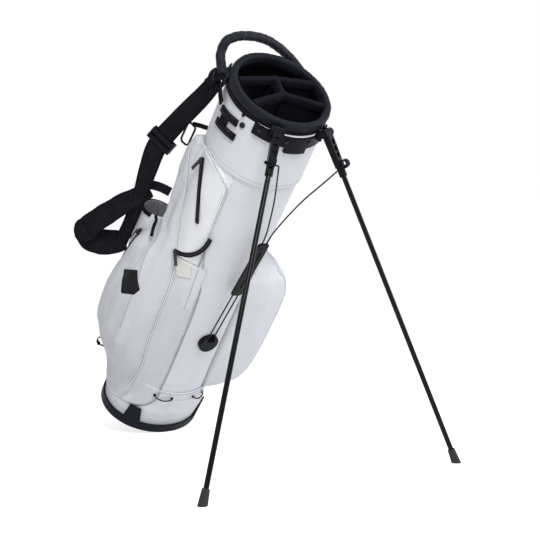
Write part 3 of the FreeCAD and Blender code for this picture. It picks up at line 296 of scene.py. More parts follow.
def two_faced(row_at, lines):
    """A thin wall with joined edges: up one face and down the other, by rows from row_at(face, t)."""
    steps = [r / (lines - 1) for r in range(lines)]
    rows = [row_at(1, t) for t in steps] + [row_at(-1, 1 - t) for t in steps]
    wall = Shape()
    wall.grid(rows, round_row=False, round_rows=True)
    wide = len(rows[0])
    for edge in (0, wide - 1):
        for r in range(lines - 1):
            front = r * wide + edge
            back = (2 * lines - 1 - r) * wide + edge
            wall.faces.append([front, front + wide, back - wide, back])
    return wall


def put(name, data):
    """An object in the scene."""
    thing = bpy.data.objects.new(name, data)
    bpy.context.scene.collection.objects.link(thing)
    return thing


def settle(name, mesh, look, stands_for):
    """Puts a mesh in the scene as a smooth piece of the bag, with every face outward."""
    work = bmesh.new()
    work.from_mesh(mesh)
    bmesh.ops.recalc_face_normals(work, faces=work.faces)
    work.to_mesh(mesh)
    work.free()
    mesh.polygons.foreach_set("use_smooth", [True] * len(mesh.polygons))
    mesh.materials.clear()
    mesh.materials.append(bpy.data.materials[look])
    piece = put(name, mesh)
    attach(piece, "bag")
    if stands_for:
        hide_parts(*stands_for)
    return piece


def mesh_of(name, shape):
    """A mesh of a shape, in the row frame."""
    mesh = bpy.data.meshes.new(name)
    mesh.from_pydata([placed(point) for point in shape.points], [], shape.faces)
    return mesh


def make_piece(name, shape, look, stands_for=()):
    """A piece from a shape in the bag's frame."""
    mesh = mesh_of(name, shape)
    lay = mesh.attributes.new("lay", "FLOAT_VECTOR", "POINT")
    lay.data.foreach_set("vector", [number for triple in shape.lays for number in triple])
    return settle(name, mesh, look, stands_for)


def softened(start, voxel, rounds, shaping):
    """A mesh made into one rounded skin, then shaped by a function of point and outward direction."""
    source = put("source", start)
    remesh = source.modifiers.new("Remesh", "REMESH")
    remesh.mode = "VOXEL"
    remesh.voxel_size = voxel * MM
    smooth = source.modifiers.new("Smooth", "SMOOTH")
    smooth.factor = 0.5
    smooth.iterations = rounds
    bpy.context.view_layer.update()
    graph = bpy.context.evaluated_depsgraph_get()
    mesh = bpy.data.meshes.new_from_object(source.evaluated_get(graph))
    bpy.data.objects.remove(source)
    moved = [placed(shaping(FROM_ROW @ (vertex.co / MM), TURN_BACK @ vertex.normal))
             for vertex in mesh.vertices]
    mesh.vertices.foreach_set("co", [number for point in moved for number in point])
    return mesh


def padded_out(size, seed, deep, less=0.0):
    """A shaping function that swells a skin softly and unevenly."""
    return lambda point, out: point + out * (rough(point, size, seed) * deep - less)


def soft_piece(name, node, voxel, rounds, shaping, look):
    """A rounded and shaped copy of a CAD node, which it replaces."""
    mesh = softened(frame["nodes"][node].data.copy(), voxel, rounds, shaping)
    return settle(name, mesh, look, [node])


def surface_of(piece):
    """A search tree of a piece's shown surface, in the row frame."""
    return BVHTree.FromObject(piece, bpy.context.evaluated_depsgraph_get())


def lifted(hits, lift):
    """Points over what was hit on a surface, and the outward direction at each."""
    outs = [(TURN_BACK @ normal).normalized() for _, normal in hits]
    spots = [FROM_ROW @ (place / MM) + out * lift for (place, _), out in zip(hits, outs)]
    return spots, outs


def snapped(path, surface, lift):
    """A path laid on a surface, raised by lift, with the outward direction at each point."""
    return lifted([surface.find_nearest(placed(point))[:2] for point in path], lift)


PRESS_FROM = 0.06


def laid(path, surfaces, way, lift):
    """A path pressed straight onto the outermost of some surfaces, and raised by lift."""
    away = (placed(way) - placed((0, 0, 0))).normalized()
    found = []
    for point in path:
        start = placed(point) + away * PRESS_FROM
        hits = [surface.ray_cast(start, -away, 2 * PRESS_FROM) for surface in surfaces]
        hits = [hit for hit in hits if hit[0] is not None] or [surfaces[0].find_nearest(placed(point))]
        found.append(min(hits, key=lambda hit: (hit[0] - start).length)[:2])
    return lifted(found, lift)


def thinned(point, fade):
    """The point, brought nearer to the tube: onto it where fade is 0."""
    gap = 0.45
    share = math.hypot(point.x / (TUBE_RX + gap), point.y / (TUBE_RY + gap))
    if share <= 1:
        return clear_of_tube(point, gap)
    kept = (1 + (share - 1) * fade) / share
    return Vector((point.x * kept, point.y * kept, point.z))


# Pitch, length and radius of the stitches on each kind of seam.
FAR_GAUGE = (4.6, 3.0, 0.36)
POCKET_GAUGE = (4.4, 3.0, 0.36)
BAND_GAUGE = (4.2, 2.8, 0.34)
RIM_GAUGE = (4.0, 2.6, 0.3)
HANDLE_GAUGE = (3.8, 2.6, 0.32)
LABEL_GAUGE = (3.6, 2.4, 0.3)
PATCH_GAUGE = (3.4, 2.2, 0.3)


def stitching(name, runs, gauge, look):
    """Rows of stitches as one piece, each on a run of (points, outward directions)."""
    threads = Shape()
    for points, outs in runs:
        threads.stitches(points, outs, *gauge)
    make_piece(name, threads, look)


def cord_piece(name, runs, radius, sides, look, closed=False):
    """Round cords along runs of points, as one piece."""
    cords = Shape()
    for points in runs:
        cords.rod(points, radius, sides, closed)
    make_piece(name, cords, look)


def seam_lines(name, path, surface, body_radius=0.0, apart=2.4):
    """Raised piping along a path on a surface, with thin dark cords at its two sides: painted shade along the
    sunk seams.
    """
    spots, outs = snapped(path, surface, 0.5)
    if body_radius:
        cord_piece(f"{name}_piping", [spots], body_radius, 8, "piping_cloth")
    lines = []
    for side in (-1, 1)[:2 if apart else 1]:
        beside = [spot + heading(spots, i).cross(outs[i]) * (side * apart) for i, spot in enumerate(spots)]
        lines.append(snapped(beside, surface, -0.05)[0])
    # These dark cords are painted shade in the seam lines.
    cord_piece(f"{name}_seam", lines, 0.55, 6, "seam_cloth")


# ---- materials ----
def feed(socket, value):
    """Links a value to a socket, or sets the socket to it."""
    if isinstance(value, bpy.types.NodeSocket):
        socket.id_data.links.new(value, socket)
    else:
        socket.default_value = value


def add_node(tree, kind, **inputs):
    """A node with its inputs linked or set by name."""
    node = tree.nodes.new(kind)
    for key, value in inputs.items():
        feed(node.inputs[key.replace("_", " ")], value)
    return node


def calculated(tree, operation, a, b=0.0):
    """The result of a calculation on one or two values."""
    node = tree.nodes.new("ShaderNodeMath")
    node.operation = operation
    feed(node.inputs[0], a)
    feed(node.inputs[1], b)
    return node.outputs[0]


class Look:
    """A node material, with helpers for the patterns that fabrics and mouldings show."""

    def __init__(self, name, roughness, shine=0.3, **settings):
        material = bpy.data.materials.new(name)
        material.use_nodes = True
        self.tree = material.node_tree
        self.shader = self.tree.nodes["Principled BSDF"]
        settings.update(Roughness=roughness, Specular_IOR_Level=shine)
        for key, value in settings.items():
            feed(self.shader.inputs[key.replace("_", " ")], value)
        self.normal = None
        source = add_node(self.tree, "ShaderNodeTexCoord").outputs["Object"]
        self.spot = self.mapped(source, Location=FROM_ROW.to_translation(), Rotation=FROM_ROW.to_euler(),
                                Scale=[1 / MM] * 3)
        parts = add_node(self.tree, "ShaderNodeSeparateXYZ", Vector=self.spot).outputs
        self.up = parts["Z"]
        self.around = self.math("MULTIPLY", self.math("ARCTAN2", parts["Y"], parts["X"]), TUBE_RX)

    def mapped(self, source, **inputs):
        """Coordinates moved, turned or scaled."""
        return add_node(self.tree, "ShaderNodeMapping", Vector=source, **inputs).outputs[0]

    def math(self, operation, a, b=0.0):
        """The result of a calculation on one or two values."""
        return calculated(self.tree, operation, a, b)

    def lay(self, axis):
        """A strap's own coordinate: along it for X, across it for Y, in millimetres."""
        source = self.tree.nodes.new("ShaderNodeAttribute")
        source.attribute_name = "lay"
        return add_node(self.tree, "ShaderNodeSeparateXYZ", Vector=source.outputs["Vector"]).outputs[axis]

    def ripple(self, value, pitch):
        """A wave from 0 to 1 of the given pitch."""
        turned = self.math("SINE", self.math("MULTIPLY", value, 2 * math.pi / pitch))
        return self.math("ADD", self.math("MULTIPLY", turned, 0.5), 0.5)

    def cloudy(self, size, detail=3.0, stretch=(1, 1, 1)):
        """Noise from 0 to 1 with features of the given size."""
        place = self.mapped(self.spot, Scale=[share / size for share in stretch])
        return add_node(self.tree, "ShaderNodeTexNoise", Vector=place, Scale=1.0, Detail=detail,
                        Roughness=0.55).outputs["Fac"]

    def cells(self, size):
        """Distance to cell centres, for grain and mesh."""
        place = self.mapped(self.spot, Scale=[1 / size] * 3)
        return add_node(self.tree, "ShaderNodeTexVoronoi", Vector=place, Scale=1.0).outputs["Distance"]

    def weave(self, pitch, first, second):
        """The height of a plain weave of two sets of threads."""
        warp = self.ripple(first, pitch)
        weft = self.ripple(second, pitch)
        under = self.math("MULTIPLY", self.math("SUBTRACT", 1.0, warp), self.math("SUBTRACT", 1.0, weft))
        return self.math("ADD", self.math("MULTIPLY", warp, weft), under)

    def paint(self, factor, low, high):
        """Gives the shader a colour between two, by a factor."""
        node = self.tree.nodes.new("ShaderNodeMix")
        node.data_type = "RGBA"
        feed(node.inputs[0], factor)
        feed(node.inputs[6], (*low, 1))
        feed(node.inputs[7], (*high, 1))
        feed(self.shader.inputs["Base Color"], node.outputs[2])

    def contrast(self, value, low, high):
        """The value spread so that low becomes 0 and high becomes 1."""
        return add_node(self.tree, "ShaderNodeMapRange", Value=value, From_Min=low, From_Max=high).outputs[0]

    def polish(self, value, low, high):
        """Roughness between two values, by a factor."""
        spread = self.math("ADD", self.math("MULTIPLY", value, high - low), low)
        feed(self.shader.inputs["Roughness"], spread)

    def relief(self, height, depth):
        """Raises the surface by depth millimetres where height is one."""
        node = add_node(self.tree, "ShaderNodeBump", Height=height, Strength=1.0, Distance=depth * MM)
        if self.normal:
            feed(node.inputs["Normal"], self.normal)
        self.normal = node.outputs[0]
        feed(self.shader.inputs["Normal"], self.normal)


def woven(name, low, high, pitch, depth, roughness, folds=0.0, sheen=0.0, shine=0.2):
    """Plain woven bag cloth."""
    look = Look(name, roughness, shine, Sheen_Weight=sheen)
    threads = look.weave(pitch, look.around, look.up)
    patches = look.math("MULTIPLY", look.cloudy(55, stretch=(1, 1, 0.6)), 0.75)
    tone = look.math("ADD", look.math("MULTIPLY", threads, 0.25), patches)
    look.paint(look.contrast(tone, 0.25, 0.75), low, high)
    look.polish(look.cloudy(14), roughness - 0.08, roughness + 0.08)
    look.relief(threads, depth)
    if folds:
        look.relief(look.cloudy(24, 2.0, (1, 1, 0.45)), folds)


def webbing(name, low, high):
    """Woven tape with cross ribs and two edge cords."""
    look = Look(name, 0.72, 0.08)
    ribs = look.weave(1.9, look.lay("X"), look.lay("Y"))
    look.paint(look.math("MULTIPLY", ribs, look.cloudy(7)), low, high)
    look.relief(ribs, 0.25)


def spacer_mesh(name, low, high):
    """Padded knit with a net of small cells."""
    look = Look(name, 0.75, 0.05)
    net = look.contrast(look.cells(2.6), 0.1, 0.55)
    look.paint(look.math("MULTIPLY", net, look.cloudy(30)), low, high)
    look.relief(net, -0.4)
    look.relief(look.cloudy(16, 2.0), 0.8)


def fleece(name, low, high, roughness, shine):
    """Brushed pile."""
    look = Look(name, roughness, shine, Sheen_Weight=0.02)
    pile = look.cloudy(1.1, 4.0)
    look.paint(look.math("MULTIPLY", pile, look.cloudy(26)), low, high)
    look.relief(pile, 0.35)
    look.relief(look.cloudy(11, 2.0), 0.5)


def leather(name, low, high, roughness):
    """Coated leather with pebbled grain and soft creases."""
    look = Look(name, roughness, 0.16)
    look.paint(look.cloudy(9), low, high)
    look.polish(look.cloudy(5), roughness - 0.1, roughness + 0.12)
    look.relief(look.cells(1.3), -0.16)
    look.relief(look.cloudy(7), 0.5)


def moulded(name, low, high, roughness, grain=0.05, shine=0.16):
    """A moulded or painted part with a fine grain and slightly uneven shine."""
    look = Look(name, roughness, shine)
    look.paint(look.cloudy(18), low, high)
    look.polish(look.cloudy(3.5), roughness - 0.06, roughness + 0.08)
    look.relief(look.cells(0.8), -grain)
    look.relief(look.cloudy(20, 1.0), 0.12)


def brushed(name, low, high, roughness):
    """Drawn or plated metal with fine lines."""
    look = Look(name, roughness, Metallic=1.0)
    lines = look.cloudy(0.7, 2.0, (1, 1, 0.08))
    look.paint(look.cloudy(6), low, high)
    look.polish(lines, roughness - 0.08, roughness + 0.12)
    look.relief(lines, 0.03)


def net_cloth(name, low, high):
    """Open pocket netting over a darker ground."""
    look = Look(name, 0.7)
    across = look.math("ADD", look.around, look.up)
    down = look.math("SUBTRACT", look.around, look.up)
    holes = look.math("MULTIPLY", look.ripple(across, 3.4), look.ripple(down, 3.4))
    look.paint(look.contrast(holes, 0.15, 0.6), high, low)
    look.relief(holes, -0.5)


# Two colours for each look, then what its function asks for.
LOOKS = {
    woven: {
        "white_cloth": ((0.78, 0.79, 0.835), (0.86, 0.87, 0.915), 0.9, 0.05, 0.52, 0.7, 0.1),
        "cuff_cloth": ((0.79, 0.80, 0.845), (0.86, 0.87, 0.915), 0.9, 0.05, 0.5, 0.9, 0.1),
        "pocket_cloth": ((0.78, 0.79, 0.835), (0.86, 0.87, 0.915), 0.9, 0.05, 0.5, 1.4, 0.1),
        # The near pocket's cloth is the white cloth painted darker: painted shade on the side that faces away
        # from the lamps.
        "near_cloth": ((0.68, 0.69, 0.73), (0.77, 0.78, 0.815), 0.9, 0.05, 0.5, 1.8, 0.1),
        # The valuables pocket's cloth is the white cloth painted brighter: painted light on its face.
        "pouch_cloth": ((0.95, 0.955, 0.985), (0.985, 0.99, 1.0), 0.9, 0.05, 0.5, 0.9, 0.1),
        "piping_cloth": ((0.80, 0.81, 0.85), (0.88, 0.89, 0.925), 0.7, 0.04, 0.42),
        "thread_white": ((0.42, 0.42, 0.45), (0.55, 0.55, 0.58), 0.5, 0.03, 0.6),
        # Dark grey cloth for thin cords laid along seams: painted shade of the seams' folds.
        "seam_cloth": ((0.24, 0.25, 0.28), (0.34, 0.35, 0.39), 0.7, 0.03, 0.7),
        "label_cloth": ((0.86, 0.85, 0.80), (0.93, 0.92, 0.875), 0.6, 0.05, 0.6),
        "thread_black": ((0.012, 0.012, 0.015), (0.03, 0.03, 0.036), 0.5, 0.03, 0.6),
        "liner_cloth": ((0.004, 0.004, 0.009), (0.014, 0.014, 0.022), 1.1, 0.08, 0.8, 0.0, 0.0, 0.05),
        "zip_cloth": ((0.003, 0.003, 0.004), (0.010, 0.010, 0.013), 1.0, 0.1, 0.62, 0.0, 0.0, 0.08)},
    webbing: {
        "black_tape": ((0.004, 0.004, 0.006), (0.022, 0.021, 0.028)),
        "cord_cover": ((0.004, 0.004, 0.005), (0.02, 0.02, 0.024))},
    spacer_mesh: {
        "strap_cloth": ((0.003, 0.003, 0.004), (0.02, 0.019, 0.026))},
    fleece: {
        "rim_cloth": ((0.004, 0.005, 0.010), (0.016, 0.018, 0.030), 0.6, 0.14),
        "divider_cloth": ((0.004, 0.004, 0.009), (0.016, 0.016, 0.026), 0.85, 0.08)},
    leather: {
        "handle_skin": ((0.004, 0.005, 0.009), (0.014, 0.016, 0.026), 0.46),
        "patch_skin": ((0.002, 0.002, 0.003), (0.007, 0.007, 0.009), 0.42)},
    moulded: {
        "boot_plastic": ((0.003, 0.004, 0.009), (0.008, 0.010, 0.018), 0.5, 0.09, 0.1),
        "hard_plastic": ((0.002, 0.002, 0.004), (0.006, 0.006, 0.010), 0.36, 0.05, 0.1),
        "stay_glass": ((0.01, 0.01, 0.012), (0.022, 0.022, 0.025), 0.4),
        "leg_paint": ((0.001, 0.001, 0.002), (0.003, 0.003, 0.005), 0.13, 0.01, 0.14),
        "foot_rubber": ((0.004, 0.004, 0.005), (0.010, 0.010, 0.012), 0.62, 0.12, 0.08),
        "wire_paint": ((0.001, 0.001, 0.002), (0.004, 0.004, 0.006), 0.28, 0.02, 0.1)},
    brushed: {
        "dark_metal": ((0.012, 0.012, 0.015), (0.035, 0.035, 0.04), 0.34),
        "zip_metal": ((0.008, 0.008, 0.01), (0.022, 0.022, 0.026), 0.34)},
    net_cloth: {
        "mouth_net": ((0.16, 0.16, 0.17), (0.55, 0.55, 0.57))},
}
for make_look, finishes in LOOKS.items():
    for finish, settings in finishes.items():
        make_look(finish, *settings)


# ---- the tube, its cuff and the skirt ----
TUBE_FOOT_Z = 6.0
TUBE_FOOT_RX = 97.1
TUBE_FOOT_RY = 107.5
TAPER_Z = 144.0
TOP_DROP = 13.2
LINING_DROP = 56.0


def tube_slack(point):
    """How far the tube's cloth lies inside its full outline."""
    shallow = 0.5 + rough(point, 42, 3.1, (1, 1, 0.35))
    return 1.3 * min(max(shallow, 0), 1) * (1 - ramp(point.z, 640, 730))


def shell(columns, lines, outside, inside):
    """A closed wall from functions of angle and t: up its outside and down its inside."""
    angles = [360 * c / columns for c in range(columns)]
    rows = [[outside(a, r / (lines - 1)) for a in angles] for r in range(lines)]
    rows += [[inside(a, 1 - r / (lines - 1)) for a in angles] for r in range(lines)]
    wall = Shape()
    wall.grid(rows, round_rows=True)
    return wall


def build_tube():
    """The cloth covered tube with its dark lining."""
    def skin(inward, top_drop):
        def at(angle, t):
            high = rim_height(round_tube(0, angle).x) - top_drop
            z = TUBE_FOOT_Z + (high - TUBE_FOOT_Z) * t
            share = min((z - TUBE_FOOT_Z) / (TAPER_Z - TUBE_FOOT_Z), 1.0)
            point = on_oval(TUBE_FOOT_RX + (TUBE_RX - TUBE_FOOT_RX) * share,
                            TUBE_FOOT_RY + (TUBE_RY - TUBE_FOOT_RY) * share, angle, z)
            return point - oval_out(angle) * (inward + tube_slack(point))
        return at

    cover = shell(128, 110, skin(0.0, TOP_DROP), skin(1.8, TOP_DROP))
    make_piece("tube_cover", cover, "white_cloth", ["main_tube"])
    lining = shell(96, 40, skin(1.9, LINING_DROP), skin(2.4, LINING_DROP))
    make_piece("tube_lining", lining, "liner_cloth")


def cuff_puff(angle, point, above_hem):
    """How far the cuff's padding stands in or out of its plain outline."""
    soft = rough(point, 30, 8.0, (1, 1, 0.6)) * 0.9 * (1 - hump(angle, 297, 16))
    stitched = hump(above_hem, 3.0, 1.3) + hump(above_hem, 10.0, 1.3)
    edge = 1 - ramp(above_hem, 0, 2.0)
    return soft - 0.5 - 0.9 * stitched - 1.4 * edge


def build_cuff():
    """The padded cuff, with its doubled and stitched hem."""
    def wall(gap, puffed):
        def at(angle, t):
            point = round_tube(gap, angle)
            low = hem_height(point.x)
            point.z = low + (rim_height(point.x) - TOP_DROP - low) * t ** 1.6
            return point + oval_out(angle) * (puffed * cuff_puff(angle, point, point.z - low))
        return at

    cuff = shell(160, 60, wall(CUFF_THICK, 1), wall(0.4, 0))
    surface = surface_of(make_piece("cuff_cloth", cuff, "cuff_cloth", ["cuff_cover"]))
    runs = []
    for rise in (3.0, 10.0):
        ring = [round_tube(CUFF_THICK, step * 2) for step in range(181)]
        ring = [Vector((point.x, point.y, hem_height(point.x) + rise)) for point in ring]
        runs.append(snapped(ring, surface, 0.15))
    stitching("cuff_stitching", runs, BAND_GAUGE, "thread_white")


# Height and half widths of the skirt's outside.
SKIRT_STATIONS = [(6.4, 99.4, 118.2), (23.0, 99.4, 118.2), (64.0, 107.0, 116.6), (132.0, 107.0, 110.6)]
SKIRT_LOW = SKIRT_STATIONS[0][0]
SKIRT_HIGH = SKIRT_STATIONS[-1][0]
SEEN_SEAMS = (30.0, 37.0, 126.0)


def skirt_radii(z):
    """Half widths of the skirt's outside at a height."""
    for (z0, rx0, ry0), (z1, rx1, ry1) in zip(SKIRT_STATIONS, SKIRT_STATIONS[1:]):
        if z <= z1:
            share = max((z - z0) / (z1 - z0), 0)
            return rx0 + (rx1 - rx0) * share, ry0 + (ry1 - ry0) * share
    return SKIRT_STATIONS[-1][1:]


def skirt_folds(angle, z):
    """Gathers under the hem and the soft dents below them."""
    turn = math.radians(angle)
    gathers = math.sin(turn * 17 + 1.3 * math.sin(turn * 5)) * 0.5 + math.sin(turn * 29 + 2) * 0.3
    high = ramp(z, 62, 104) * (1 - ramp(z, 110, 122))
    dents = rough(on_oval(100, 100, angle, z), 26, 5.5, (1, 1, 0.8))
    return (gathers - 0.9) * 1.1 * high + min(dents, 0.2) * 3.0 * ramp(z, 30, 60) * (1 - ramp(z, 112, 124))


def build_skirt():
    """The gathered shroud between the boot and the tube."""
    def wall(inward):
        def at(angle, t):
            z = SKIRT_LOW + (SKIRT_HIGH - SKIRT_LOW) * t
            hem = 0.9 * (hump(z, 108, 1.4) + hump(z, 126, 1.4))
            puff = skirt_folds(angle, z) - inward - hem - 0.3
            return on_oval(*skirt_radii(z), angle, z) + oval_out(angle) * puff
        return at

    skirt = shell(216, 70, wall(0.0), wall(1.6))
    surface = surface_of(make_piece("skirt_cloth", skirt, "white_cloth", ["base_skirt"]))
    rings = {}
    for z in (30.0, 37.0, 108.0, 126.0):
        rings[z] = snapped([on_oval(*skirt_radii(z), step * 2, z) for step in range(181)], surface, 0.15)
    stitching("skirt_stitching", rings.values(), BAND_GAUGE, "thread_white")
    # Thin dark cords sunk along the skirt's seams: painted shade in the seam lines.
    creases = [[spot - out * 0.2 for spot, out in zip(*rings[z])] for z in SEEN_SEAMS]
    cord_piece("skirt_seam_shades", creases, 0.5, 6, "seam_cloth")


# ---- collar, dividers and handle ----
def rim_point(angle, inward, height):
    """A point of the rim, by distance in from its outline and height over its middle plane."""
    return RIM_FRAME @ on_oval(RIM_RX - inward, RIM_RY - inward, angle, height)


def rim_ring(inward, height, count=120):
    """Points round the rim, three degrees apart."""
    return [rim_point(3 * step, inward, height) for step in range(count)]


def build_rim():
    """The padded roll round the mouth, creased along its lower edge."""
    rows = []
    for angle in [1.5 * step for step in range(240)]:
        turn = math.radians(angle)
        pucker = 0.35 * math.sin(turn * 46) * (0.6 + 0.4 * math.sin(turn * 7 + 1))
        middle = rim_point(angle, RIM_WIDE / 2, 0)
        ring = []
        for around in [2 * math.pi * side / 28 for side in range(28)]:
            c = math.cos(around)
            s = math.sin(around)
            across = math.copysign(abs(c) ** 0.62, c) * RIM_WIDE / 2
            high = math.copysign(abs(s) ** 0.62, s) * RIM_HIGH / 2
            spot = rim_point(angle, RIM_WIDE / 2 - across, high)
            dent = (rough(spot, 17, 2.0) * 0.9 - 0.5 + pucker * max(s, 0)
                    - 1.2 * hump(s, -0.72, 0.12) * (c > 0))
            ring.append(spot + (spot - middle).normalized() * dent)
        rows.append(ring)
    roll = Shape()
    roll.grid(rows, round_rows=True)
    piece = make_piece("rim_roll", roll, "rim_cloth", ["collar_pad"])
    return surface_of(piece)


def build_rim_trim(surface):
    """The piping and the stitches on the roll, and the band under it."""
    piping = snapped(rim_ring(0.0, -7.8), surface, 0.2)[0]
    cord_piece("rim_piping", [piping], 1.15, 8, "black_tape", closed=True)
    ring = rim_ring(1.2, -14.0)
    outward = [wider - point for wider, point in zip(rim_ring(-30, -14.0), ring)]
    below = Shape()
    below.sweep(ring, lambda t: oval_section(5.2, 2.6, 12), outward, closed=True)
    make_piece("rim_band", below, "black_tape")
    inner = snapped(rim_ring(RIM_WIDE, -6.0, 121), surface, 0.1)
    stitching("rim_stitching", [inner], RIM_GAUGE, "thread_black")


def build_divider():
    """The padded bars across the mouth."""
    piece = soft_piece("divider_bars", "top_divider", 2.0, 10, padded_out(15, 6.0, 0.9, 0.3), "divider_cloth")


BAR_BACK = Vector((-34, 0, 0))
BAR_FRONT = Vector((10, 0, 0))
BAR_ENDS = [(BAR_BACK, BAR_FRONT, 40.0)] + [
    (start, Vector((x, side * 110, 0)), None)
    for start, x in ((BAR_BACK, -25.0), (BAR_FRONT, 46.0)) for side in (-1, 1)]
PANEL_LOW = 12.0
PANEL_FIRST = 2.6
PANEL_DROP = 7.6
PANEL_COLUMNS = 26


def build_panels():
    """The cloth walls that hang from the bars to the boot."""
    for number, (start, end, long) in enumerate(BAR_ENDS):
        run = (end - start).normalized()
        side = run.cross(UP)
        reach = long or oval_reach(start, run, TUBE_RX - 6.5, TUBE_RY - 6.5)

        def row_at(face, t):
            row = []
            for share in [c / (PANEL_COLUMNS - 1) for c in range(PANEL_COLUMNS)]:
                along = PANEL_FIRST + (reach - PANEL_FIRST) * share
                flat = start + run * along
                z = PANEL_LOW + (rim_height(flat.x) - PANEL_DROP - PANEL_LOW) * t
                free = math.sin(math.pi * share) * (1 - ramp(z, 760, 870))
                wave = 2.2 * free * math.sin(z / 95 + number) * (0.6 + 0.4 * math.sin(along / 19))
                row.append(flat + side * (wave + face * 0.35) + UP * z)
            return row

        piece = make_piece(f"divider_sheet_{number}", two_faced(row_at, 90), "liner_cloth",
                           ["divider_panels"] if number == 0 else [])


def oval_reach(start, run, rx, ry):
    """Distance from a point to an ellipse along a direction."""
    a = (run.x / rx) ** 2 + (run.y / ry) ** 2
    b = 2 * (start.x * run.x / rx ** 2 + start.y * run.y / ry ** 2)
    c = (start.x / rx) ** 2 + (start.y / ry) ** 2 - 1
    return (-b + math.sqrt(b * b - 4 * a * c)) / (2 * a)


def build_handle():
    """The lift handle: a padded, leather covered arch."""
    def soft(point, out):
        ring = math.sin(point.y / 3.4 + 1.5 * math.sin(point.y / 11)) * ramp(point.z, 925, 940)
        creases = rough(point, 9, 4.0, (1, 2.2, 1))
        return point + out * (0.35 * ring + 0.9 * creases - 0.5)

    piece = soft_piece("handle_grip", "grab_handle", 1.6, 7, soft, "handle_skin")
    surface = surface_of(piece)
    runs = []
    for lift in (-26.0, -4.0):
        for side in (-1, 1):
            path = [rim_point(side * (104 + step), -6.4, lift) for step in range(0, 25, 2)]
            runs.append(snapped(path, surface, 0.1))
    stitching("handle_stitching", runs, HANDLE_GAUGE, "thread_black")


# ---- where the zips run ----
# First, middle and last point of each zip, and a direction out of the bag there.
TRACKS = {
    "valuables": ((-8, -119.0, 716), (21, -117.2, 651), (45, -109.5, 585), (0.1, -1, 0)),
    "accessory": ((16, -114.5, 488), (60, -97.6, 512), (76, -84.5, 566), (0.45, -0.9, 0.1)),
    "apparel": ((-70, -152, 478), (-73, -164, 437), (-74, -172, 396), (-0.6, -0.8, 0)),
}
TAPE_HALF = 5.0


def arc_frames(name, count):
    """Points along a zip's arc, each with its direction across, out and along."""
    start, middle, end, out_hint = [Vector(point) for point in TRACKS[name]]
    u = middle - start
    v = end - start
    normal = u.cross(v)
    axis = normal.normalized()
    reach = v.cross(normal) * u.length_squared + normal.cross(u) * v.length_squared
    centre = start + reach / (2 * normal.length_squared)
    first = start - centre
    cosine = first.normalized().dot((end - centre).normalized())
    sweep = math.acos(max(min(cosine, 1), -1))
    along = axis.cross(first).normalized()
    out = (out_hint - along * out_hint.dot(along)).normalized()
    side = along.cross(out)
    frames = []
    for i in range(count):
        turned = Matrix.Rotation(sweep * i / (count - 1), 3, axis)
        frames.append((centre + turned @ first, turned @ side, turned @ out, turned @ along))
    return frames


def under_zip(point, frames, depth):
    """The point, pushed in where it would stand over a zip's tapes."""
    spot, _, out, _ = min(frames, key=lambda frame: (frame[0] - point).length_squared)
    away = point - spot
    high = away.dot(out)
    wide = (away - out * high).length
    limit = 0.7 * max(wide - TAPE_HALF - 1.5, 0) - depth
    if wide < 26 and high > limit:
        return point - out * (high - limit)
    return point


# ---- pockets ----
# Each pocket's outline by height: height, front (x), reach (distance from the middle) and back (x).
NEAR_STATIONS = [(50, -4, 120, -36), (57, 22, 121, -48), (74, 36, 123, -58), (98, 42, 127, -68),
                 (125, 46, 138, -76), (180, 53, 168, -84), (240, 54, 192, -88), (330, 52, 195, -90),
                 (400, 44, 181, -90), (452, 31, 166, -86), (488, 21, 142, -74), (520, 12, 128, -62),
                 (565, 1, 122, -64), (640, -20, 119, -80), (700, -32, 116, -80), (726, -38, 110, -76)]
FAR_STATIONS = [(118, 80, 150, -50), (140, 92, 180, -62), (190, 98, 194, -72), (280, 101, 199, -76),
                (400, 99, 196, -74), (445, 92, 178, -68), (472, 78, 142, -56)]
ROOT_Y = 70.0
SKIN_GAP = 0.6
SKIN_GAP_LOW = 1.4
LOW_SKIN_Z = 136.0


def clear_of_bag(point, gap):
    """The point, moved straight out of the tube, or out of the skirt where it covers the tube."""
    if point.z > SKIRT_HIGH + 1:
        return clear_of_tube(point, gap)
    rx, ry = skirt_radii(max(point.z, SKIRT_LOW + 0.1))
    return clear_of_oval(point, rx + gap, ry + gap)


def station_at(stations, z):
    """Front, reach and back of a pocket at a height, on a smooth line through its stations."""
    low = 0
    while low < len(stations) - 2 and stations[low + 1][0] < z:
        low += 1
    span = stations[low + 1][0] - stations[low][0]
    share = min(max((z - stations[low][0]) / span, 0), 1)
    return blend_at([Vector(station[1:]) for station in stations], (low + share) / (len(stations) - 1))


def near_section(front, out, back):
    """Corner points round the near pocket: its sharp seam first, then round to its back edge."""
    deep = front - back
    far = out - ROOT_Y
    return [(front + 24, ROOT_Y - 2), (front, max(min(out - 9, 108), ROOT_Y + 0.36 * far)),
            (front - 0.08 * deep, ROOT_Y + 0.62 * far), (front - 0.21 * deep, ROOT_Y + 0.84 * far),
            (front - 0.42 * deep, ROOT_Y + 0.975 * far), (front - 0.62 * deep, out - 0.4),
            (back + 0.24 * deep, out - 0.8), (back + 0.10 * deep, out - 0.06 * far - 1),
            (back + 0.01 * deep, ROOT_Y + 0.62 * far), (back + 4, ROOT_Y)]


def far_section(front, out, back):
    """Corner points round the far pocket."""
    deep = front - back
    far = out - ROOT_Y
    return [(front - 5, ROOT_Y), (front - 0.01 * deep, ROOT_Y + 0.45 * far),
            (front - 0.06 * deep, ROOT_Y + 0.80 * far), (front - 0.2 * deep, out - 0.05 * far),
            (front - 0.4 * deep, out - 0.6), (back + 0.4 * deep, out - 0.6),
            (back + 0.2 * deep, out - 0.05 * far), (back + 0.06 * deep, ROOT_Y + 0.80 * far),
            (back + 0.01 * deep, ROOT_Y + 0.45 * far), (back + 5, ROOT_Y)]


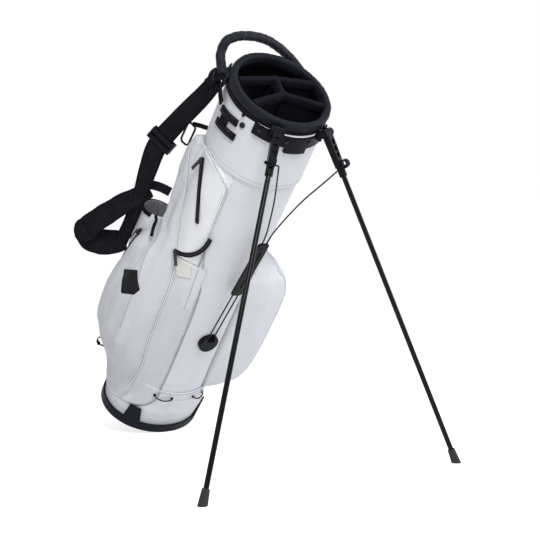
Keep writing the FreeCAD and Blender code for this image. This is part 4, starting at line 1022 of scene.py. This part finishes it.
def pocket_skin(stations, section, side, folds, fine, lines, root_gap):
    """The outside of a pocket as rows of points, and its front seam."""
    low = stations[0][0]
    high = stations[-1][0]
    rows = []
    seam = []
    for r in range(lines):
        z = low + (high - low) * r / (lines - 1)
        front, out, back = station_at(stations, z)
        corners = [Vector((x, side * y, z)) for x, y in section(front, out, back)]
        seam.append(clear_of_bag(corners[1], 1.0))
        middle = Vector(((front + back) / 2, 0, z))
        row = []
        for share in [c / (fine - 1) for c in range(fine)]:
            spot = blend_at(corners[1:-1], share)
            away = spot - middle
            away.z = 0
            row.append(spot + away.normalized() * folds(spot, share))
        gap = SKIN_GAP_LOW if z < LOW_SKIN_Z else SKIN_GAP
        row = [clear_of_bag(point, gap) for point in row + [corners[-1]]]
        root = corners[1].lerp(corners[0], ramp(z, 40, 116))
        rows.append([clear_of_bag(root, root_gap)] + row)
    return rows, seam


def pocket_wall(rows, side):
    """Closes a pocket's skin with a back that lies on the tube."""
    full = []
    for row in rows:
        back = [row[-1].lerp(row[0], k / 12) for k in range(1, 12)]
        full.append(row + [clear_of_bag(Vector((spot.x, side * 40, spot.z)), 0.45) for spot in back])
    shape = Shape()
    shape.grid(full, capped=True)
    return shape


GUSSET = curve_through([(-58, -118, 660), (-58, -118, 601), (-53, -127, 530), (-39, -137, 511),
                        (-23, -148, 486), (-15, -157, 459), (-7, -163, 435), (8, -171, 395),
                        (16, -177, 350), (20, -178, 282), (14, -168, 206), (-10, -140, 130)], 90)


def near_folds(point, across):
    """Soft folds of the near pocket, deeper at its open middle and low down."""
    away = min((mark - point).length for mark in GUSSET)
    level = ramp(point.z, 120, 180) * (1 - ramp(point.z, 610, 650)) * (1 - 0.9 * hump(point.z, 388, 46))
    edge = (2.6 * hump(away, 0, 5) - 2.8 * hump(away, 17, 9)) * level
    open_part = math.sin(math.pi * across) ** 0.7
    drape = rough(point, 30, 1.4, (0.8, 1, 0.32))
    small = rough(point, 13, 9.1, (1, 1, 0.7))
    pull = -2.0 * hump(point.z, 205, 22) * hump(across, 0.7, 0.25)
    return open_part * (3.4 * drape + 1.1 * small - 1.4) + edge + pull


def far_folds(point, across):
    """Soft folds of the far pocket, with the dimples of a slack front."""
    drape = rough(point, 34, 7.7, (1, 1, 0.4))
    small = rough(point, 14, 3.3, (1, 1, 0.8))
    return math.sin(math.pi * across) ** 0.6 * (3.6 * drape + 1.0 * small - 1.8)


def under_accessory(point):
    """The point, pulled in where the accessory pocket's cloth lies over it."""
    share = ramp(point.z, 430, 448) * (1 - ramp(point.z, 540, 556)) * ramp(point.x, 36, 50)
    return point + (Vector((0, 0, point.z)) - point).normalized() * 6.0 * share


def build_near_pocket():
    """The long side pocket with its piped front seam."""
    rows, seam = pocket_skin(NEAR_STATIONS, near_section, -1, near_folds, 72, 130, -1.3)
    zip_frames = arc_frames("apparel", 60)
    rows = [[under_accessory(point) for point in row] for row in rows]
    rows = [[row[0]] + [under_zip(point, zip_frames, 1.2) for point in row[1:]] for row in rows]
    # The pocket's cloth is painted darker than the white cloth: painted shade.
    surface = surface_of(make_piece("near_pocket", pocket_wall(rows, -1), "near_cloth",
                                    ["apparel_pocket"]))
    path = curve_through(evenly(seam[::-1] + rows[0][5:-1], 56), 260)
    seam_lines("near", path, surface, 1.9)
    seam_lines("gusset", GUSSET[2:66], surface, apart=0.0)
    beside = [point + Vector((-8.0, -5.6, 0)) for point in path[:212]]
    stitching("near_stitching", [snapped(beside, surface, 0.12)], POCKET_GAUGE, "thread_white")
    return surface


def build_far_pocket():
    """The deep pocket on the far side, piped round its front."""
    rows, _ = pocket_skin(FAR_STATIONS, far_section, 1, far_folds, 56, 90, 0.5)
    surface = surface_of(make_piece("far_pocket", pocket_wall(rows, 1), "pocket_cloth",
                                    ["ball_pocket"]))
    side = [row[12] for row in rows[3:-3]]
    top = rows[-4][13:46]
    other = [row[45] for row in rows[3:-3]][-2::-1]
    bottom = rows[3][13:44][::-1]
    loop = evenly(side + top + other + bottom + [side[0]], 240)
    rounded = [(loop[i - 2] + loop[i - 1] + loop[i] + loop[(i + 1) % 239] + loop[(i + 2) % 239]) / 5
               for i in range(239)]
    seam_lines("far", rounded + [rounded[0]], surface, 1.5)
    centre = sum(rounded, Vector()) / len(rounded)
    inner = [point + (centre - point).normalized() * 6 for point in rounded]
    stitching("far_stitching", [snapped(inner, surface, 0.12)], FAR_GAUGE, "thread_white")


# The valuables pocket's edge, as angles round the bag and heights: its slanted top, then its front.
POUCH_EDGE = [(-98, 736), (-78, 728), (-64, 713), (-51.5, 692), (-50, 653), (-49.5, 614), (-49, 566),
              (-50, 530)]
POUCH_LOW = 487.0


def pouch_top(degrees):
    """Height of the valuables pocket's slanted top edge."""
    for (a, high), (b, low) in zip(POUCH_EDGE[:3], POUCH_EDGE[1:4]):
        if degrees <= b:
            return high + (low - high) * max((degrees - a) / (b - a), 0)
    return POUCH_EDGE[3][1]


def build_pouch(near_surface):
    """The valuables pocket high on the near side, with its slanted top and piped edges."""
    def soft(point, out):
        degrees = degrees_of(point)
        top = pouch_top(degrees)
        kept = (1 - ramp(degrees, -51.5, -47.5)) * (1 - ramp(point.z, top - 1, top + 3))
        slack = rough(point, 26, 2.7, (1, 1, 0.45)) * 1.8 - 0.7
        return thinned(point + out * slack * ramp(point.z, POUCH_LOW, POUCH_LOW + 20), kept)

    # The pocket's cloth is painted brighter than the white cloth: painted light.
    piece = soft_piece("valuables_cloth", "valuables_pocket", 2.2, 4, soft, "pouch_cloth")
    surface = surface_of(piece)
    path = evenly(curve_through([round_tube(6, degrees, z) for degrees, z in POUCH_EDGE], 160), 160)
    seam_lines("valuables", path, surface, 1.4, 2.0)
    inner = [point + Vector((-9.0, -2.0, -8.0 * (1 - i / 159))) for i, point in enumerate(path)]
    stitching("valuables_stitching", [snapped(inner, surface, 0.12)], POCKET_GAUGE, "thread_white")
    side = evenly(curve_through([(-62, -116, 700), (-45, -115, 657), (-22, -113, 594), (-1, -117, 557),
                                 (18, -115, 499)], 120), 120)
    beside = [point + Vector((3.0, 0, 0.6)) for point in side]
    surfaces = [surface, near_surface]
    way = Vector((0.1, -1, 0))
    cord_piece("pouch_piping", [laid(side, surfaces, way, 0.5)[0]], 1.2, 8, "piping_cloth")
    # A thin dark cord beside the piping: painted shade along the seam.
    cord_piece("pouch_seam_shade", [laid(beside, surfaces, way, 0.1)[0]], 0.6, 6, "seam_cloth")
    return surface


# Corners of the blank label, as angles round the bag and heights.
LABEL_CORNERS = ((-77, 476), (-56.5, 495), (-51, 451), (-67.5, 438))


def build_accessory(neighbours):
    """The flat pocket under the valuables pocket, with a blank sewn label."""
    def soft(point, out):
        kept = ramp(point.z, 374, 436) * (1 - ramp(degrees_of(point), -60, -38))
        slack = rough(point, 24, 5.2, (1, 1, 0.5)) * 1.6 - 0.6
        return thinned(point + out * slack, kept)

    piece = soft_piece("accessory_cloth", "accessory_pocket", 2.0, 5, soft, "pocket_cloth")
    surfaces = [surface_of(piece)] + neighbours
    way = on_oval(1, 1, -68)
    corners = [round_tube(8, degrees, z) for degrees, z in LABEL_CORNERS]

    def row_at(face, t):
        left = corners[0].lerp(corners[3], t)
        right = corners[1].lerp(corners[2], t)
        lift = 1.0 if face < 0 else -0.4
        return laid([left.lerp(right, c / 17) for c in range(18)], surfaces, way, lift)[0]

    make_piece("accessory_label", two_faced(row_at, 15), "label_cloth")
    border = laid(evenly(corners + [corners[0]], 90), surfaces, way, 1.1)
    stitching("accessory_stitching", [border], LABEL_GAUGE, "thread_white")
    # A thin dark cord along the pocket's edge: painted shade where the pocket meets the tube.
    edge = curve_through([(74, -82, 545), (72, -80, 500), (74, -79, 460), (75, -77, 407), (76, -76, 372)], 80)
    line = laid(edge, surfaces, on_oval(1, 1, -52), 0.1)[0]
    cord_piece("accessory_seam_shade", [line], 0.6, 6, "seam_cloth")


BOTTLE_MOUTH = Vector((-96, -111, 514))
BOTTLE_FOOT = Vector((-92, -114, 402))
BOTTLE_RADIUS = 34.0
BOTTLE_COLUMNS = 72


def build_bottle():
    """The open bottle pocket: a cloth sleeve lined with net, bound round its mouth."""
    up = (BOTTLE_MOUTH - BOTTLE_FOOT).normalized()
    side = up.cross(Vector((0, -1, 0))).normalized()
    out = side.cross(up)

    def ring(t, inward):
        centre = BOTTLE_FOOT + (BOTTLE_MOUTH - BOTTLE_FOOT) * t
        radius = BOTTLE_RADIUS - inward
        row = []
        for turn in [2 * math.pi * c / BOTTLE_COLUMNS for c in range(BOTTLE_COLUMNS)]:
            spot = centre + side * (radius * math.cos(turn)) + out * (radius * math.sin(turn))
            slack = rough(spot, 19, 6.6, (1, 1, 0.6)) * 1.5 - 0.6
            spot += (spot - centre).normalized() * slack * math.sin(math.pi * min(t, 0.97))
            row.append(clear_of_tube(spot, 0.5 + inward))
        return row

    steps = [i / 29 for i in range(1, 30)]
    sleeve = Shape()
    outer = [ring(0.0, inward) for inward in (30.0, 16.0, 3.0)] + [ring(t, 0.0) for t in steps]
    inner = [ring(t, 1.3) for t in steps[::-1]] + [ring(0.012, inward) for inward in (4.3, 16.0, 30.0)]
    sleeve.grid(outer + inner, capped=True)
    make_piece("bottle_cloth", sleeve, "pocket_cloth", ["bottle_pocket"])
    net = Shape()
    net.grid([ring(t, 1.45) for t in steps] + [ring(t, 2.0) for t in steps[::-1]], round_rows=True)
    make_piece("bottle_net", net, "mouth_net")

    band("bottle_tag", [(-66, -133, 519), (-52, -137, 516), (-45, -143, 508), (-36, -148, 498),
                        (-30, -150, 490)], 8, 3.0, Vector((0.3, -0.9, 0.2)))
    soft_piece("bottle_binding", "bottle_trim", 0.9, 6, padded_out(12, 1.0, 0.5), "black_tape")


# ---- zips ----
TAPE_PROFILE = [(0.45, -1.9), (TAPE_HALF, -1.9), (TAPE_HALF, 0.55), (TAPE_HALF - 0.5, 0.85),
                (1.6, 0.8), (0.45, 0.5)]
TOOTH_PITCH = 1.7


def build_zip(name):
    """One zip: two woven tapes with a row of meshed teeth between them."""
    frames = arc_frames(name, 90)
    tape = Shape()
    for half in (-1, 1):
        rows = [[point + across * (half * a) + up * b for a, b in TAPE_PROFILE]
                for point, across, up, _ in frames]
        tape.grid(rows, capped=True)
    make_piece(f"{name}_tape", tape, "zip_cloth", [f"{name}_zip"])
    teeth = Shape()
    count = int(run_length([spot[0] for spot in frames]) / TOOTH_PITCH)
    for i, (spot, across, up, ahead) in enumerate(arc_frames(name, count)):
        shift = 0.35 if i % 2 else -0.35
        rows = []
        for wide, high in ((1.5, -0.4), (1.5, 0.55), (1.1, 0.95)):
            rows.append([spot + across * (shift + a * wide) + ahead * (b * 0.6) + up * high
                         for a, b in ((-1, -1), (1, -1), (1, 1), (-1, 1))])
        teeth.grid(rows, capped=True)
    make_piece(f"{name}_teeth", teeth, "zip_metal")


# ---- straps and webbing ----
STRAP_OUT = STRAP_FACE.normalized()


def keep_off_cuff(shape, gap):
    """Moves the points of a shape that would lie in the cuff out to its face."""
    for point in shape.points:
        if point.z > hem_height(point.x) - 6:
            point.xy = clear_of_tube(point, CUFF_THICK + gap).xy


def beside_path(path, ways, half, inset, lift):
    """A line along a strap, at an inset from the edge that ways point to, and lifted off its middle plane."""
    return [point + way * (wide - inset) + STRAP_OUT * lift for point, way, wide in zip(path, ways, half)]


def build_main_strap():
    """The padded shoulder strap, with bound and stitched edges."""
    count = 110
    path = curve_through([(-68, -110, 868), (-77, -121, 822), (-95, -145, 744), (-106, -164, 676),
                          (-108, -164, 612), (-107, -161, 545), (-104, -163, 480), (-98, -172, 418)], count)
    widths = [32, 38, 40, 42, 38, 31, 27, 27]
    half = [blend_at(widths, i / (count - 1)) / 2 for i in range(count)]
    body = Shape()
    body.sweep(path, lambda t: slab_section(half[round(t * (count - 1))], 3.3, 1.0, 0.9, 12), STRAP_FACE)
    for point in body.points:
        point += STRAP_OUT * (rough(point, 28, 4.2) * 1.6)
    keep_off_cuff(body, 0.6)
    piece = make_piece("strap_down", body, "strap_cloth", ["strap_upper"])
    surface = surface_of(piece)
    binding = Shape()
    runs = []
    for side in (-1, 1):
        ways = [heading(path, i).cross(STRAP_OUT).normalized() * side for i in range(count)]
        flat = Shape()
        flat.sweep(beside_path(path, ways, half, 1.2, 0), strip(2.4, 3.6, 0.0, 0.9, 3), STRAP_FACE)
        keep_off_cuff(flat, 0.5)
        binding.add(flat.points, flat.faces, flat.lays)
        runs.append(snapped(beside_path(path, ways, half, 6.5, 6), surface, 0.1))
    make_piece("strap_down_binding", binding, "black_tape")
    stitching("strap_down_stitching", runs, BAND_GAUGE, "thread_black")


LOOP_ARMS = [([(-108, -140, 556), (-114, -176, 524), (-122, -213, 483), (-127, -250, 441)], [34, 44, 50, 48]),
             ([(-128, -256, 430), (-122, -230, 409), (-113, -201, 408), (-103, -178, 417), (-94, -163, 428)],
              [44, 52, 56, 54, 44])]
LOOP_TIP = Vector((-127, -250, 434))


def build_loop():
    """The second strap, folded back on itself in a padded loop."""
    body = Shape()
    insets = []
    rims = []
    for points, widths in LOOP_ARMS:
        path = curve_through(points, 80)
        half = [blend_at(widths, i / 79) / 2 for i in range(80)]
        body.sweep(path, lambda t, w=widths: slab_section(blend_at(w, t) / 2, 4.6, 1.2, 0.9, 8), STRAP_FACE)
        for side in (-1, 1):
            ways = [heading(path, i).cross(STRAP_OUT) * side for i in range(80)]
            insets.append(beside_path(path, ways, half, 7.0, 7))
            rims.append(beside_path(path, ways, half, 1.5, 5))
    start = STRAP_OUT.cross(UP).normalized()
    fold = [LOOP_TIP + (start * math.cos(turn) + STRAP_OUT.cross(start) * math.sin(turn)) * 19
            for turn in [math.pi * step / 20 for step in range(40)]]
    body.sweep(fold, strip(8.0, 4.8, 0.4, 0.9, 4), STRAP_FACE, closed=True)
    body.sweep([LOOP_TIP - start * 14, LOOP_TIP, LOOP_TIP + start * 14], strip(13.0, 4.4), STRAP_FACE)
    skin = softened(mesh_of("strap_fold", body), 1.7, 7, padded_out(22, 4.2, 2.0, 0.3))
    piece = settle("strap_fold", skin, "strap_cloth", ["strap_loop"])
    surface = surface_of(piece)
    edges = [snapped(rim, surface, 0.1)[0] for rim in rims]
    cord_piece("strap_fold_binding", edges, 1.1, 8, "black_tape")
    runs = [snapped(inset, surface, 0.1) for inset in insets]
    stitching("strap_fold_stitching", runs, BAND_GAUGE, "thread_black")


def band(name, points, width, thick, facing, stands_for=(), off_cuff=0.0):
    """A plain length of webbing."""
    body = Shape()
    body.sweep(curve_through(points, 40), strip(width / 2, thick / 2, 0.1, 0.95, 6), facing)
    if off_cuff:
        keep_off_cuff(body, off_cuff)
    make_piece(name, body, "black_tape", stands_for)


def build_webbing():
    """The bands that tie the straps to the bag, and the two small loops."""
    band("strap_keeper", [(-80, -108, 571), (-92, -123, 573), (-106, -137, 570), (-114, -150, 565)],
         20, 2.3, STRAP_FACE, ["strap_band"])
    band("anchor_tail", [(-52, -111, 868), (-34, -116, 855), (-14, -119.5, 846)],
         18, 1.9, Vector((-0.25, -1, 0)), ["anchor_webbing"], 0.3)
    band("anchor_link", [round_tube(5.2, -87.5, z) for z in (812, 818, 825)], 27, 1.8, oval_out(-87.5))
    band("clip_hanger", [(-71, -85, 746), (-84, -97, 743), (-95, -107, 739)],
         10, 2.4, Vector((0.5, -0.6, 0.6)), ["clip_tab"])
    band("strap_head", [(-67, -109, 872), (-70, -113, 880), (-72, -117, 874), (-71, -117, 862)],
         24, 2.2, STRAP_FACE)
    band("strap_head_fold", [(-60, -104, 886), (-64, -112, 880), (-70, -118, 868), (-76, -124, 850)],
         20, 2.2, STRAP_FACE)
    path = curve_through([(-72, -131, 150), (-80, -143, 149), (-82, -149, 141), (-77, -144, 131),
                          (-66, -131, 130)], 30)
    loop = Shape()
    loop.sweep(path, strip(5.0, 0.9, 0.0, 0.95, 4), Vector((-0.6, -0.6, 0.2)))
    make_piece("loop_webbing", loop, "black_tape", ["side_loop"])


PATCH_CENTRE = Vector((-7, -184.5, 385))
PATCH_OUT = Vector((0, -0.97, 0.24)).normalized()
PATCH_SIDE = Vector((-0.606, 0, 0.795)).cross(PATCH_OUT).normalized()
PATCH_UP = PATCH_OUT.cross(PATCH_SIDE)
PATCH_CORNERS = [(-21, -27), (8, -27), (21, -15), (21, 26), (-21, 26)]
# The patch's profile: how far in from its edge, and how high over the pocket.
PATCH_PROFILE = ((0, -0.5), (0, 0.7), (0.6, 1.3), (2.2, 1.5), (3.2, 1.1), (8, 1.4), (16, 1.7), (21.5, 1.7))


def patch_outline(inset, count=96):
    """The patch's outline with softened corners, drawn in by an inset."""
    run = [Vector((a * (1 - inset / 22), b * (1 - inset / 26), 0)) for a, b in PATCH_CORNERS]
    spots = evenly(run + [run[0]], count + 1)[:-1]
    flat = [(spots[i - 1] + spots[i] * 2 + spots[(i + 1) % count]) / 4 for i in range(count)]
    return [PATCH_CENTRE + PATCH_SIDE * spot.x + PATCH_UP * spot.y for spot in flat]


def build_patch(surface):
    """The blank patch, stitched down round its edge."""
    patch = Shape()
    patch.grid([laid(patch_outline(inset), [surface], PATCH_OUT, lift)[0] for inset, lift in PATCH_PROFILE],
               capped=True)
    piece = make_piece("patch_face", patch, "patch_skin", ["blank_patch"])
    around = patch_outline(3.0)
    runs = [snapped(around + [around[0]], surface_of(piece), 0.05)]
    stitching("patch_stitching", runs, PATCH_GAUGE, "thread_black")


# ---- cords ----
EYELET_Z = 116.0


def skirt_eye(degrees):
    """Where a cord leaves its eyelet, and the outward direction there."""
    rx, ry = skirt_radii(EYELET_Z)
    out = on_oval(1 / rx, 1 / ry, degrees).normalized()
    return on_oval(rx, ry, degrees, EYELET_Z) + out * 2.1, out


def drawcord(name, node, first, last):
    """One elastic cord from eyelet to eyelet, sagging a little between them."""
    a, out_a = skirt_eye(first)
    b, out_b = skirt_eye(last)
    hang = (out_a + out_b).normalized() * 8 - UP * 5
    route = [a, a + out_a * 4.5, (a * 2 + b) / 3 + hang, (a + b * 2) / 3 + hang, b + out_b * 4.5, b]
    curve = bpy.data.curves.new(name, "CURVE")
    curve.dimensions = "3D"
    curve.bevel_depth = 1.5 * MM
    curve.bevel_resolution = 5
    curve.resolution_u = 24
    curve.use_fill_caps = True
    line = curve.splines.new("NURBS")
    line.points.add(len(route) - 1)
    for spot, point in zip(line.points, route):
        spot.co = (*placed(point), 1)
    line.order_u = 3
    line.use_endpoint_u = True
    curve.materials.append(bpy.data.materials["cord_cover"])
    cord = put(name, curve)
    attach(cord, "bag")
    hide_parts(node)
    bpy.context.view_layer.update()
    placed(a)


# ---- the hard parts keep their CAD shape ----
HARD_LOOKS = {
    "boot_plastic": ["base_boot"],
    "hard_plastic": ["collar_ring", "leg_bracket", "guide_disc", "spreader_plate", "anchor_plates",
                     "strap_adjuster", "near_leg_yoke", "far_leg_yoke"],
    "stay_glass": ["stay_rods"],
    "leg_paint": ["near_leg_tube", "far_leg_tube"],
    "foot_rubber": ["near_leg_foot", "far_leg_foot"],
    "wire_paint": ["lower_rod", "near_wire", "far_wire"],
    "dark_metal": ["pivot_pins", "plate_rivets", "bracket_screws", "cuff_snap", "rim_knob", "strap_ring",
                   "clip_body", "clip_gate", "eyelets"],
    "zip_metal": ["valuables_slider", "accessory_slider", "apparel_slider",
                  "valuables_pull", "accessory_pull", "apparel_pull"],
}


def finish_hard_parts():
    """Gives every CAD node that stays its own procedural finish."""
    for look, nodes in HARD_LOOKS.items():
        for node in nodes:
            materials = frame["nodes"][node].data.materials
            materials.clear()
            materials.append(bpy.data.materials[look])


# ---- floor, light and camera ----
FLOOR_HALF = 40.0
FLOOR_GLOW = 0.72
AMBIENT = 0.40
LIT_SPOT = Vector((0.3, 0, 0.45))
CAMERA_SPOT = Vector((2.5554, -1.5264, 0.5664))
LOOK_AT = Vector((0.4143, 0.0031, 0.4029))


def seen_directly(tree):
    """One for rays from the camera, from shiny parts or through clear ones."""
    path = tree.nodes.new("ShaderNodeLightPath").outputs
    shiny = calculated(tree, "MAXIMUM", path["Is Camera Ray"], path["Is Glossy Ray"])
    return calculated(tree, "MAXIMUM", shiny, path["Is Transmission Ray"])


def build_floor():
    """A white floor that keeps the object's soft shadow."""
    mesh = bpy.data.meshes.new("floor")
    corners = [(x * FLOOR_HALF, y * FLOOR_HALF, 0) for x, y in ((-1, -1), (1, -1), (1, 1), (-1, 1))]
    mesh.from_pydata(corners, [], [(0, 1, 2, 3)])
    material = bpy.data.materials.new("floor_white")
    material.use_nodes = True
    tree = material.node_tree
    inputs = tree.nodes["Principled BSDF"].inputs
    feed(inputs["Roughness"], 1.0)
    feed(inputs["Base Color"], (0.9, 0.9, 0.9, 1))
    feed(inputs["Specular IOR Level"], 0.0)
    feed(inputs["Emission Color"], (1, 1, 1, 1))
    feed(inputs["Emission Strength"], calculated(tree, "MULTIPLY", seen_directly(tree), FLOOR_GLOW))
    mesh.materials.append(material)
    floor = put("floor", mesh)


def build_surround():
    """A plain world that lights the bag softly and is white where it is seen."""
    world = bpy.data.worlds.new("surround")
    bpy.context.scene.world = world
    world.use_nodes = True
    tree = world.node_tree
    tree.nodes.clear()
    plain = add_node(tree, "ShaderNodeBackground", Color=(0.93, 0.95, 1.0, 1), Strength=AMBIENT)
    white = add_node(tree, "ShaderNodeBackground", Color=(1, 1, 1, 1), Strength=1.0)
    mix = add_node(tree, "ShaderNodeMixShader", Fac=seen_directly(tree))
    feed(mix.inputs[1], plain.outputs[0])
    feed(mix.inputs[2], white.outputs[0])
    add_node(tree, "ShaderNodeOutputWorld", Surface=mix.outputs[0])


def aimed(name, data, place, target):
    """A lamp or camera in the scene that looks at a point."""
    holder = put(name, data)
    holder.location = place
    holder.rotation_euler = (target - Vector(place)).to_track_quat("-Z", "Y").to_euler()
    return holder


def area_light(name, place, size, power):
    """A square lamp that looks at the middle of the bag."""
    lamp = bpy.data.lights.new(name, "AREA")
    lamp.size = size
    lamp.energy = power
    aimed(name, lamp, place, LIT_SPOT)


def build_camera():
    """The camera, which looks at the bag's near and front sides from a little above."""
    lens = bpy.data.cameras.new("camera")
    lens.sensor_width = 36.0
    lens.lens = 84.56
    lens.clip_start = 0.05
    lens.clip_end = 100.0
    bpy.context.scene.camera = aimed("camera", lens, CAMERA_SPOT, LOOK_AT)


build_tube()
build_cuff()
build_skirt()
build_rim_trim(build_rim())
build_divider()
build_panels()
build_handle()
near_surface = build_near_pocket()
build_far_pocket()
build_accessory([build_pouch(near_surface), near_surface])
build_bottle()
for zip_name in TRACKS:
    build_zip(zip_name)
build_main_strap()
build_loop()
build_webbing()
build_patch(near_surface)
drawcord("front_cord", "drawcord_near", -36.0, -15.0)
drawcord("back_cord", "drawcord_far", 14.0, 31.0)
finish_hard_parts()
build_floor()
build_surround()
area_light("key", (2.6, -1.0, 2.3), 1.1, 52.0)
area_light("side", (1.9, 2.6, 1.5), 1.4, 26.0)
build_camera()
bpy.context.scene.view_settings.view_transform = "Standard"
